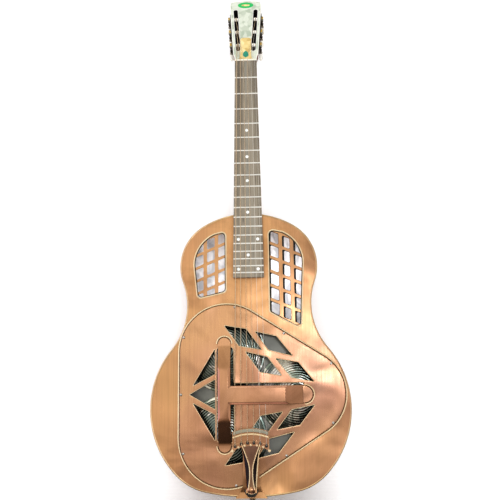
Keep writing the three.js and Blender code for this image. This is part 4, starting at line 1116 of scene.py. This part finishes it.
def slot_outline(sign, grow=0.0):
    half = SLOT_WIDTH / 2
    lean = math.atan(SLOT_SLOPE)
    high, low = SLOT_SPAN[1] - half, SLOT_SPAN[0] + half
    points = arc(slot_x(high), high, half + grow, -lean, math.pi - lean, 12)
    points += arc(slot_x(low), low, half + grow, math.pi - lean, 2 * math.pi - lean, 12)
    return [(sign * x, z) for x, z in points]


def shaft_depth(z):
    """Depth of the neck behind the fretboard: a heel that sweeps into a slim shaft."""
    above = z - BODY_TOP_Z
    heel = 36 * math.exp(-((max(above - 4, 0) / 17) ** 1.15))
    slim = 22.5 - 2.7 * min(max((above - 60) / 240, 0), 1)
    near_nut = 3.0 * min(max((z - (NUT_Z - 14)) / 18, 0), 1) ** 2
    return slim + heel - near_nut


def make_neck():
    front = BOARD_BACK_Y
    rings = []
    start, stop = BODY_TOP_Z + 0.35, NUT_Z + 4.4
    steps = [start, start + 0.8] + [start + 4 + (stop - start - 4) * (i / 60) ** 1.6 for i in range(61)]
    for i, z in enumerate(steps):
        half = min(board_half(z) - 0.1, BOARD_BODY_HALF - 0.2) * (0.985 if i == 0 else 1)
        depth = shaft_depth(z) * (0.99 if i == 0 else 1)
        turns = [math.pi * k / 28 for k in range(29)]
        across = [half * math.copysign(abs(math.cos(a)) ** 0.8, math.cos(a)) for a in turns]
        rings.append([(x, front + depth * math.sin(a), z) for x, a in zip(across, turns)])
    shaft = lofted("shaft", rings)
    slots = [slot_outline(-1), slot_outline(1)]
    block = sheet("block", head_outline(3), VENEER, HEAD_THICKNESS, slots, 0.8, HEAD)
    settle(joined("neck_carved", [shaft, block]), MAHOGANY, "neck", smooth_angle=38)


def head_sheet(name, outline, front, back, material, holes=(), bevel=0.12, node=None, slot=None):
    """A plate on the headstock, with its depths measured from the headstock's face."""
    settle(sheet(name, outline, front, back, holes, bevel, HEAD), material, node, slot=slot)


def make_headplate():
    face = head_outline(5.8, 1.4)
    slots = [slot_outline(sign, 1.0) for sign in (-1, 1)]
    head_sheet("head_face", face, 0, VENEER - 0.02, HEAD_PEARL, slots, node="headplate")
    head_sheet("head_binding", head_outline(5.8), 0.02, VENEER, CREAM, [face])
    for sign, letter in LETTERS.items():
        ring = slot_outline(sign, 1.0)
        head_sheet(f"slot_binding_{letter}", ring, 0.02, VENEER, CREAM, [slot_outline(sign)])
        # The slot walls are painted black as shade.
        wall, void = slot_outline(sign, -0.02), [slot_outline(sign, -0.5)]
        depths = (VENEER + 0.05, HEAD_THICKNESS - 0.2)
        head_sheet(f"slot_lining_{letter}", wall, *depths, PAINTED_SHADOW, void, 0.05, slot="mahogany")
    make_ornaments()


def bell(grow=0.0):
    corners = [
        (-11.5, 7.5, 1.5),
        (11.5, 7.5, 1.5),
        (8.6, 17, 8),
        (9.4, 58.5, 8.6),
        (-9.4, 58.5, 8.6),
        (-8.6, 17, 8),
    ]
    middle_z = 31
    moved = []
    for x, z, r in corners:
        spot = (x + math.copysign(grow, x), z + math.copysign(grow, z - middle_z))
        moved.append((*spot, max(r + grow, 0.5)))
    return rounded(moved, 6)


def make_ornaments():
    """A plain amber cover with a teal inlay, and a plain green oval at the top."""
    head_sheet("rod_cover", bell(), -1.9, -0.05, MOSS, bevel=0.35, node="truss_rod_cover")
    head_sheet("rod_cover_face", bell(-2.0), -2.15, -1.7, AMBER_PEARL, bevel=0.2)
    gem = [(0, 9, 0.6), (6.2, 14, 1.5), (4.6, 22, 1.5), (0, 27, 1.5), (-4.6, 22, 1.5), (-6.2, 14, 1.5)]
    head_sheet("rod_cover_foot", rounded(gem, 3), -2.3, -2.0, TEAL)
    pin = [(0, -0.3), (1.3, -0.1), (1.3, 0.1), (0.8, 0.35), (0, 0.4)]
    for letter, x, z in (("a", -8.8, 10.2), ("b", 8.8, 10.2), ("c", 0, 54.5)):
        settle(turned(f"rod_cover_screw_{letter}", pin, 20, HEAD @ facing(x, -1.9, z)), BRASS)
    turns = [2 * math.pi * k / 48 for k in range(48)]
    large, small = [
        [(width * math.cos(a), 150.5 + height * math.sin(a)) for a in turns]
        for width, height in ((16, 8), (8.5, 2.6))
    ]
    head_sheet("head_oval", large, -0.12, 0.4, GREEN, [small], 0.05)
    head_sheet("head_oval_centre", small, -0.1, 0.4, AMBER_PEARL, bevel=0.04)


# ---------- tuners ----------


def tuner_frames(n):
    """Matrices at a string's post and worm: x out along the post, y back along the worm's shaft."""
    roller, knob = JOINTS[f"roller_{n}_turn"], JOINTS[f"knob_{n}_turn"]
    sign = -1 if n <= 3 else 1
    x = Vector(roller["axis"]) * sign
    y = Vector(knob["axis"])
    z = x.cross(y)
    turn = Matrix((x, y, z)).transposed().to_4x4()
    places = [Matrix.Translation(Vector(joint["pos_m"]) / MM) @ turn for joint in (roller, knob)]
    return places[0], places[1], sign


ALONG_X = Matrix.Rotation(math.pi / 2, 4, "Y")
ALONG_Y = Matrix.Rotation(-math.pi / 2, 4, "X")
GEAR_TEETH = 14
GEAR_R = (4.5, 5.6)
WORM_R = (1.25, 1.8)
WORM_PITCH = 1.9


def make_gear(name, place):
    outline = []
    for i in range(GEAR_TEETH):
        for r, at in ((GEAR_R[0], -0.3), (GEAR_R[1], -0.14), (GEAR_R[1], 0.14), (GEAR_R[0], 0.3)):
            turn = 2 * math.pi * (i + at) / GEAR_TEETH
            outline.append((r * math.cos(turn), r * math.sin(turn)))
    round_turn = 2 * math.pi * 11 / 12
    centres = [(2.9 * math.cos(a), 2.9 * math.sin(a)) for a in (0, 2.094, 4.189)]
    holes = [arc(x, z, 0.55, 0, round_turn, 11) for x, z in centres]
    side_on = Matrix.Rotation(math.pi / 2, 4, "Z")
    return sheet(name, outline, -5.5, -2.2, holes, 0.15, place @ side_on)


AXLE = [(0, -19.5), (AXLE_R, -19.2), (AXLE_R, 2.4), (3.1, 2.4), (3.1, 5.5), (2.2, 5.6), (0, 5.65)]
SLEEVE = [(2.9, -14), (3.2, -13.5), (3.0, -10.7), (3.2, -7.9), (2.9, -7.4)]
SLEEVE_BORE_R = 2.22


def make_tuner(n):
    post, worm, _ = tuner_frames(n)
    roller_body, knob_body = f"tuner_roller_{n}", f"tuner_knob_{n}"
    parts = [make_gear("gear", post), turned("axle", AXLE, 28, post @ ALONG_X)]
    settle(joined(f"post_gear_{n}", parts), BRASS, f"tuner_post_{n}", roller_body)
    first, last = (SLEEVE_BORE_R, SLEEVE[0][1]), (SLEEVE_BORE_R, SLEEVE[-1][1])
    sleeve = turned(f"post_sleeve_{n}", [first, *SLEEVE, last, first], 36, post @ ALONG_X)
    settle(sleeve, ROLLER_GLOW_CREAM, body=roller_body)
    make_worm(n, worm, knob_body)
    make_button(n, worm, knob_body)


def make_worm(n, place, body):
    """A single-start thread cut on a shaft: rings whose radius follows the helix."""
    rings = []
    around = 32
    length = 3.6
    levels = [-6.9] + [-length + 2 * length * i / 48 for i in range(49)] + [22]
    for level in levels:
        threaded = abs(level) <= length
        ring = []
        for k in range(around):
            a = 2 * math.pi * k / around
            wave = 0.5 + 0.5 * math.sin(2 * math.pi * level / WORM_PITCH - a)
            end_fade = min(1, (length - abs(level)) / 0.5) if threaded else 0
            r = 1.4 + (WORM_R[1] - 1.4) * wave * end_fade
            ring.append((r * math.cos(a), level, r * math.sin(a)))
        rings.append(ring)
    settle(lofted(f"worm_{n}", rings, place=place), STEEL, f"tuner_shaft_{n}", body)


BUTTON = [  # half-width and distance along the shaft
    *((2.4, 13.2), (2.2, 14.6), (2.7, 16.2), (5.2, 17.8), (7.6, 20.2)),
    *((8.6, 23.4), (8.1, 27), (5.6, 30.2), (2.4, 31.4), (0.4, 31.5)),
]
BUTTON_HALF_THICKNESS = 3.7


def make_button(n, place, body):
    """A flattened oval button that tapers into a neck, with a nickel ferrule."""
    rings = []
    for r, y in BUTTON:
        blend = min(max((y - 15) / 4, 0), 1)
        thin = r + (min(r, BUTTON_HALF_THICKNESS) - r) * blend
        squared = lambda v: math.copysign(abs(v) ** (1 - 0.18 * blend), v)
        turns = [2 * math.pi * k / 32 for k in range(32)]
        rings.append([(thin * squared(math.cos(a)), y, r * squared(math.sin(a))) for a in turns])
    button = lofted(f"button_{n}", rings, place=place)
    smooth = button.modifiers.new("smooth", "SUBSURF")
    smooth.levels = smooth.render_levels = 1
    settle(button, BUTTON_PEARL, f"tuner_button_{n}", body, 70)
    ring = [(2.9, 11.6), (3.1, 12.2), (2.7, 12.8), (2.9, 13.3), (1.45, 13.4)]
    ferrule = turned(f"ferrule_{n}", [(1.45, 11.6), *ring, (1.45, 11.6)], 28, place @ ALONG_Y)
    settle(ferrule, NICKEL, body=body)


def make_plate_screws(side):
    sign = SIDES[side]
    numbers = (1, 2, 3) if side == "bass" else (6, 5, 4)
    spots = [(n, 8.2) for n in numbers] + [(numbers[0], -14.5)]
    profile = [(0, -0.4), (2.1, -0.2), *round_head(2.1, 0.2, 0.9), (0, 1.1)]
    for i, (n, rise) in enumerate(spots):
        seat = tuner_frames(n)[0] @ Matrix.Translation((sign * 1.7, 0.7, rise))
        place = seat @ Matrix.Rotation(sign * math.pi / 2, 4, "Y")
        settle(turned(f"tuner_plate_{side}_screw_{i + 1}", profile, 24, place), NICKEL)


# ---------- strings ----------

GAUGES = (0.66, 0.53, 0.42, 0.33, 0.25, 0.2)
NUT_PITCH = 7
SADDLE_PITCH = 10.8
STRING_HOLE_PITCH = 11.05
ARCH_Z = -127
HOLES_R = 70


def string_hole(n):
    x = (n - 3.5) * STRING_HOLE_PITCH
    return x, ARCH_Z + math.sqrt(HOLES_R**2 - x * x)


WRAPS = 2.3
WRAPS_MIDDLE_X = -10.7


def make_string(n):
    """From its hole in the tailpiece over the saddle and nut, then wound on its post."""
    radius = GAUGES[n - 1]
    place = n - 3.5
    post, _, _ = tuner_frames(n)
    hole_x, hole_z = string_hole(n)
    saddle = box_mm("saddle")
    saddle_z = (saddle[0].z + saddle[1].z) / 2
    over_saddle = saddle[0].y - radius - 0.05
    over_nut = NUT_TOP_Y - radius - 0.05
    rise = ((-89.8, -0.2), (-91.8, 0.1), (-92.8, 0.8), (-93.15, 2.2))
    points = [(hole_x, y, hole_z + z) for y, z in rise]
    points += [(place * SADDLE_PITCH, over_saddle, saddle_z + z) for z in (-1, 1)]
    points += [(place * NUT_PITCH, over_nut, NUT_Z + z) for z in (0.2, 1.2)]
    reach = ROLLER_R + radius + 0.12
    for i in range(61):
        t = i / 60
        turn = -math.pi / 2 + 2 * math.pi * WRAPS * t
        along = WRAPS_MIDDLE_X + 2.2 * radius * WRAPS * (0.5 - t)
        points.append(tuple(post @ Vector((along, reach * math.sin(turn), reach * math.cos(turn)))))
    material = WOUND[n - 1] if n <= 4 else STRING_STEEL
    settle(tube(f"string_{n}_wire", points, radius), material, f"string_{n}", smooth_angle=60)


# ---------- tailpiece ----------


TAIL_RIB = [  # Z, half-width, front face, half-width of the skirt
    (-58, 17.0, -91.0, 18.0),
    (-64, 14.8, -91.0, 16.5),
    (-79, 9.0, -90.6, 13.0),
    (-96, 3.8, -90.0, 11.0),
    (-113, 2.9, -89.4, 9.5),
    (-126, 4.2, -88.8, 8.5),
    (-136, 6.0, -88.2, 8.0),
]


def strap_y(z):
    return -86.4 + 3.6 * min(max((-z - 118) / 18, 0), 1)


def rib_at(t):
    """The rib's sizes at a place along it, eased between its stations."""
    last = len(TAIL_RIB) - 1
    i = min(int(t * last), last - 1)
    u = t * last - i
    rows = [TAIL_RIB[min(max(i + k, 0), last)] for k in (-1, 0, 1, 2)]
    eased = []
    for a, b, c, d in zip(*rows):
        bend = 2 * a - 5 * b + 4 * c - d + u * (3 * (b - c) + d - a)
        eased.append(b + 0.5 * u * (c - a + u * bend))
    return eased


def arch_sector(r0, r1, half):
    """A strip of a ring about the tailpiece's centre, cut off at a half-width."""
    a0, a1 = math.acos(half / r0), math.acos(half / r1)
    outer = arc(0, ARCH_Z, r1, a1, math.pi - a1, 24)
    inner = arc(0, ARCH_Z, r0, math.pi - a0, a0, 24)
    return outer + inner


NUB_AT = (0, -85.2, -136.5)
RIDGE_R = 85
LIP_R = 66.5


def make_tail_rib():
    """The stem's hollow skirts painted dark as shade and dark reflection, its edges painted as highlights,
    its rounded end, and a painted shadow below it.
    """
    rings = []
    strip = []
    for k in range(31):
        z, half, front, skirt = rib_at(k / 30)
        low = strap_y(z) + 0.4
        side = [(skirt, low), (skirt - 0.6, low - 0.8), (half + 1.6, (low + front) / 2), (half, front + 0.7)]
        rings.append([(x, y, z) for x, y in side] + [(-x, y, z) for x, y in reversed(side)])
        x, y = half - 1.7, front - 0.1
        strip.append([(-x, y, z), (x, y, z), (x, front + 0.3, z), (-x, front + 0.3, z)])
    # The skirts are painted dark: shade and dark reflection.
    settle(lofted("tail_skirts", rings), SHADE_VIOLET, smooth_angle=60)
    settle(lofted("tail_rib_face", strip[1:-1]), RIB_COPPER)
    stations = [rib_at(k / 40) for k in range(41)]
    # The rib's edges are painted as highlights; the treble skirt's edge is painted brighter than the bass
    # one.
    for sign, size, metal in ((-1, 0.6, COPPER), (1, 1.2, HIGHLIGHT_COPPER)):
        upper = [(sign * (half - 0.3), front - 0.15, z) for z, half, front, _ in stations]
        settle(tube(f"tail_rib_edge_{LETTERS[sign]}", upper, 0.9), HIGHLIGHT_COPPER, smooth_angle=60)
        lower = [(sign * (skirt + 0.3), strap_y(z) - 0.4, z) for z, _, _, skirt in stations]
        settle(tube(f"tail_skirt_edge_{LETTERS[sign]}", lower, size), metal, smooth_angle=60)
    profile = [(0, 0), (7.6, 0), (8.2, 1.2), (7.6, 2.6), (5.4, 3.9), (2.6, 4.5), (0, 4.6)]
    nub = turned("tail_nub", profile, 40, facing(*NUB_AT) @ Matrix.Diagonal((1, 0.8, 1, 1)))
    settle(nub, REST_COPPER, smooth_angle=60)
    # The nub's rim painted as a highlight.
    edge = arc(0, 0, 8.2, math.pi * 0.95, math.pi * 2.05, 28)
    edge = [(x, NUB_AT[1] - 0.4, NUB_AT[2] + 0.8 * z) for x, z in edge]
    settle(tube("tail_nub_edge", edge, 1.0), HIGHLIGHT_COPPER)
    # A black half-round painted as the shadow under the nub.
    half_round = arc(0, NUB_AT[2] - 0.1, 12.4, math.pi, 2 * math.pi, 20)
    settle(sheet("tail_nub_shadow", half_round, -83.4, -82.6, bevel=0.15), PAINTED_SHADOW)


def make_tail_comb():
    """The arched top: a grey bar, a ridge painted as a highlight, the string holes painted black as shade and
    the scalloped lip painted as highlights.
    """
    settle(sheet("tail_bar", arch_sector(88.4, 94, 31), -91.5, -90.3), GREY_METAL)
    reach = math.acos(31.6 / RIDGE_R)
    ridge = [(x, -91.9, z) for x, z in arc(0, ARCH_Z, RIDGE_R, reach, math.pi - reach, 40)]
    # The ridge painted as a highlight.
    settle(tube("tail_ridge", ridge, 1.6), HIGHLIGHT_COPPER, smooth_angle=60)
    drop = [(-2.4, -2.6, 2.2), (2.4, -2.6, 2.2), (2.6, 1.1, 1.6), (0, 4.9, 0.5), (-2.6, 1.1, 1.6)]
    # The string holes painted black as shade.
    for n in STRINGS:
        x0, z0 = string_hole(n)
        outline = [(x0 + x, z0 + z) for x, z in rounded(drop, 4)]
        settle(sheet(f"tail_hole_{n}", outline, -91.75, -91.2, bevel=0.08), PAINTED_SHADOW)
    # The scallops painted as highlights.
    for k in range(7):
        x0 = (k - 3) * STRING_HOLE_PITCH * 0.985
        size, lower = (2.7, 1.5) if k in (0, 6) else (2.2, 0)
        z0 = ARCH_Z + math.sqrt(LIP_R**2 - x0 * x0) - lower
        turns = [math.pi * i / 10 for i in range(11)]
        profile = [(size * math.sin(a), 2.1 - 2.1 * math.cos(a)) for a in turns]
        scallop = turned(f"tail_scallop_{k + 1}", profile, 24, facing(x0, -89.6, z0))
        settle(scallop, HIGHLIGHT_COPPER, smooth_angle=60)


# ---------- stage ----------

FLOOR_Z = cad_bounds[0][2]
CAMERA_AT = (39.7, -1312.1, 46.9)
CAMERA_YAW = 1.70
CAMERA_PITCH = 11.18
CAMERA_ROLL = -0.8
CAMERA_LENS = 48.3


PAPER_GLOW = 0.22


def one_sided(n, **values):
    """A stage material that is clear when it is seen from behind."""
    seen_from_behind = n.add("NewGeometry").outputs["Backfacing"]
    return n.set(alpha=n.math("SUBTRACT", 1.0, seen_from_behind), roughness=0.9, **values)


def stage_card(name, bm, material):
    """A sheet of the stage with its front towards the camera."""
    card = from_bmesh(name, bm)
    if card.data.polygons[-1].normal.y > 0:
        card.data.flip_normals()
    card.data.materials.append(material)
    return card


def make_stage():
    """A white sweep: a floor under the tail that curves up into a wall behind the back."""
    wall_y, front_y = 0.004, -4.0
    bend = 0.06
    turns = [math.pi / 2 * i / 12 for i in range(13)]
    low = FLOOR_Z - 0.0005
    profile = [(front_y, low)]
    profile += [(wall_y - bend + bend * math.sin(a), low + bend - bend * math.cos(a)) for a in turns]
    profile += [(wall_y, 3.0)]
    bm = bmesh.new()
    left, right = [[bm.verts.new((x, y, z)) for y, z in profile] for x in (-4.0, 4.0)]
    for k in range(len(profile) - 1):
        bm.faces.new((left[k], right[k], right[k + 1], left[k + 1]))
    n = Nodes("white_paper")
    white = n.mix(n.noise(scale=2, detail=2), (0.86, 0.86, 0.87), (0.90, 0.90, 0.90))
    glow = {"emission_color": (1, 1, 1), "emission_strength": PAPER_GLOW}
    paper = one_sided(n, base_color=white, specular_ior_level=0.0, **glow)
    stage_card("white_sweep", bm, paper).visible_glossy = False


def make_slot_shadows():
    """The shaded wall close behind the headstock's slots."""
    n = Nodes("slot_shadow")
    shade = n.mix(n.noise(scale=60), (0.010, 0.010, 0.012), (0.022, 0.020, 0.022))
    dark = one_sided(n, base_color=shade)
    for sign, letter in LETTERS.items():
        points = [HEAD @ Vector((x, HEAD_THICKNESS + 0.4, z)) * MM for x, z in slot_outline(sign, 2.5)]
        bm = bmesh.new()
        bm.faces.new([bm.verts.new(p) for p in points])
        stage_card(f"slot_shadow_{letter}", bm, dark).visible_shadow = False


def area_light(name, at, aim, size, power, colour=(1, 1, 1)):
    light = bpy.data.lights.new(name, "AREA")
    light.shape = "RECTANGLE"
    light.size, light.size_y = size
    light.energy = power
    light.color = colour
    lamp = placed(name, light)
    lamp.location = at
    lamp.rotation_euler = (Vector(aim) - Vector(at)).to_track_quat("-Z", "Y").to_euler()
    return lamp


# What reflections see along each axis of a direction, from -1 to 1: the three are multiplied.
STUDIO_ACROSS = [
    (-1.0, (1.3, 1.15, 1.5)),
    (-0.66, (1.1, 1.0, 1.2)),
    (-0.48, (0.35, 0.30, 0.34)),
    (-0.3, (1.24, 1.19, 1.02)),
    (-0.08, (1.02, 0.98, 0.86)),
    (0.06, (0.80, 0.78, 0.74)),
    (0.2, (0.54, 0.52, 0.53)),
    (0.42, (0.24, 0.21, 0.23)),
    (0.7, (0.60, 0.55, 0.50)),
    (1.0, (0.95, 0.90, 0.84)),
]
STUDIO_UPWARD = [
    (-1.0, (0.95, 0.82, 0.90)),
    (-0.9, (0.35, 0.30, 0.32)),
    (-0.78, (0.06, 0.06, 0.06)),
    (-0.62, (0.07, 0.06, 0.05)),
    (-0.5, (0.38, 0.34, 0.28)),
    (-0.24, (0.50, 0.48, 0.45)),
    (-0.1, (0.73, 0.72, 0.69)),
    (0.0, (0.88, 0.88, 0.86)),
    (0.12, (1.06, 1.05, 0.98)),
    (0.34, (1.0, 1.0, 0.97)),
    (0.6, (0.75, 0.74, 0.64)),
    (0.85, (0.70, 0.68, 0.62)),
    (1.0, (1.35, 1.40, 1.50)),
]
STUDIO_BEHIND = [
    (-1.0, (1.0, 1.0, 1.0)),
    (0.1, (1.0, 1.0, 1.0)),
    (0.3, (0.12, 0.11, 0.12)),
    (0.45, (0.34, 0.32, 0.32)),
    (0.7, (0.85, 0.82, 0.80)),
    (1.0, (1.0, 0.98, 0.95)),
]


def make_world():
    """Even white for the eye and for soft light; reflections see a studio with a pale front,
    a bright left wall, and a dark floor and right side."""
    world = bpy.data.worlds.new("studio")
    bpy.context.scene.world = world
    world.use_nodes = True
    n = Nodes(tree=world.node_tree)
    direction = n.coords("Generated")
    factors = []
    for axis, stops in (("X", STUDIO_ACROSS), ("Z", STUDIO_UPWARD), ("Y", STUDIO_BEHIND)):
        along = n.spread(n.axis(axis, direction), 0.0, 1.0, -1.0, 1.0)
        factors.append(n.ramp(along, [((at + 1) / 2, colour) for at, colour in stops]))
    seen = factors[0]
    for factor in (*factors[1:], (0.88, 0.88, 0.88)):
        seen = n.mix(1.0, seen, factor, "MULTIPLY")
    glossy = n.add("LightPath").outputs["Is Glossy Ray"]
    background = n.tree.nodes["Background"]
    n.put(background, {"Color": n.mix(glossy, (1, 1, 1), seen), "Strength": 1.0})


def make_lights():
    make_world()
    area_light("sheen", (0.25, -1.5, 0.17), (0.13, 0, 0.1), (0.11, 0.18), 1.4)
    for side, power in (("bass", 0.052), ("treble", 0.085)):
        x = SIDES[side] * 0.066
        at, aim = (x, -0.066, 0.25), (x, 0, 0.25)
        lamp = area_light(f"inside_{side}", at, aim, (0.05, 0.12), power, (0.97, 0.97, 1.0))
        lamp.visible_camera = False
        lamp.visible_glossy = False


def make_camera():
    data = bpy.data.cameras.new("camera")
    data.lens = CAMERA_LENS
    data.sensor_width = 36
    camera = placed("camera", data)
    level = Matrix.Rotation(math.radians(90 + CAMERA_PITCH), 4, "X")
    yaw = Matrix.Rotation(math.radians(CAMERA_YAW), 4, "Z")
    roll = Matrix.Rotation(math.radians(CAMERA_ROLL), 4, "Z")
    camera.matrix_world = Matrix.Translation(Vector(CAMERA_AT) * MM) @ yaw @ level @ roll
    bpy.context.scene.camera = camera
    bpy.context.scene.view_settings.view_transform = "Standard"
    bpy.context.scene.view_settings.look = "Medium High Contrast"


make_body()
make_grilles()
make_coverplate()
for index in range(1, 10):
    make_screw(f"cover_screw_{index}", f"coverplate_screw_{index}")
for index in (1, 2):
    make_screw(f"strap_screw_{index}", f"bracket_screw_{index}")
make_cones()
make_softened()
make_rest_ends()
make_tail_rib()
make_tail_comb()
make_neck()
make_fretboard()
make_headplate()
for number in STRINGS:
    make_tuner(number)
    make_string(number)
for side_name in SIDES:
    make_plate_screws(side_name)
make_stage()
make_slot_shadows()
make_lights()
make_camera()
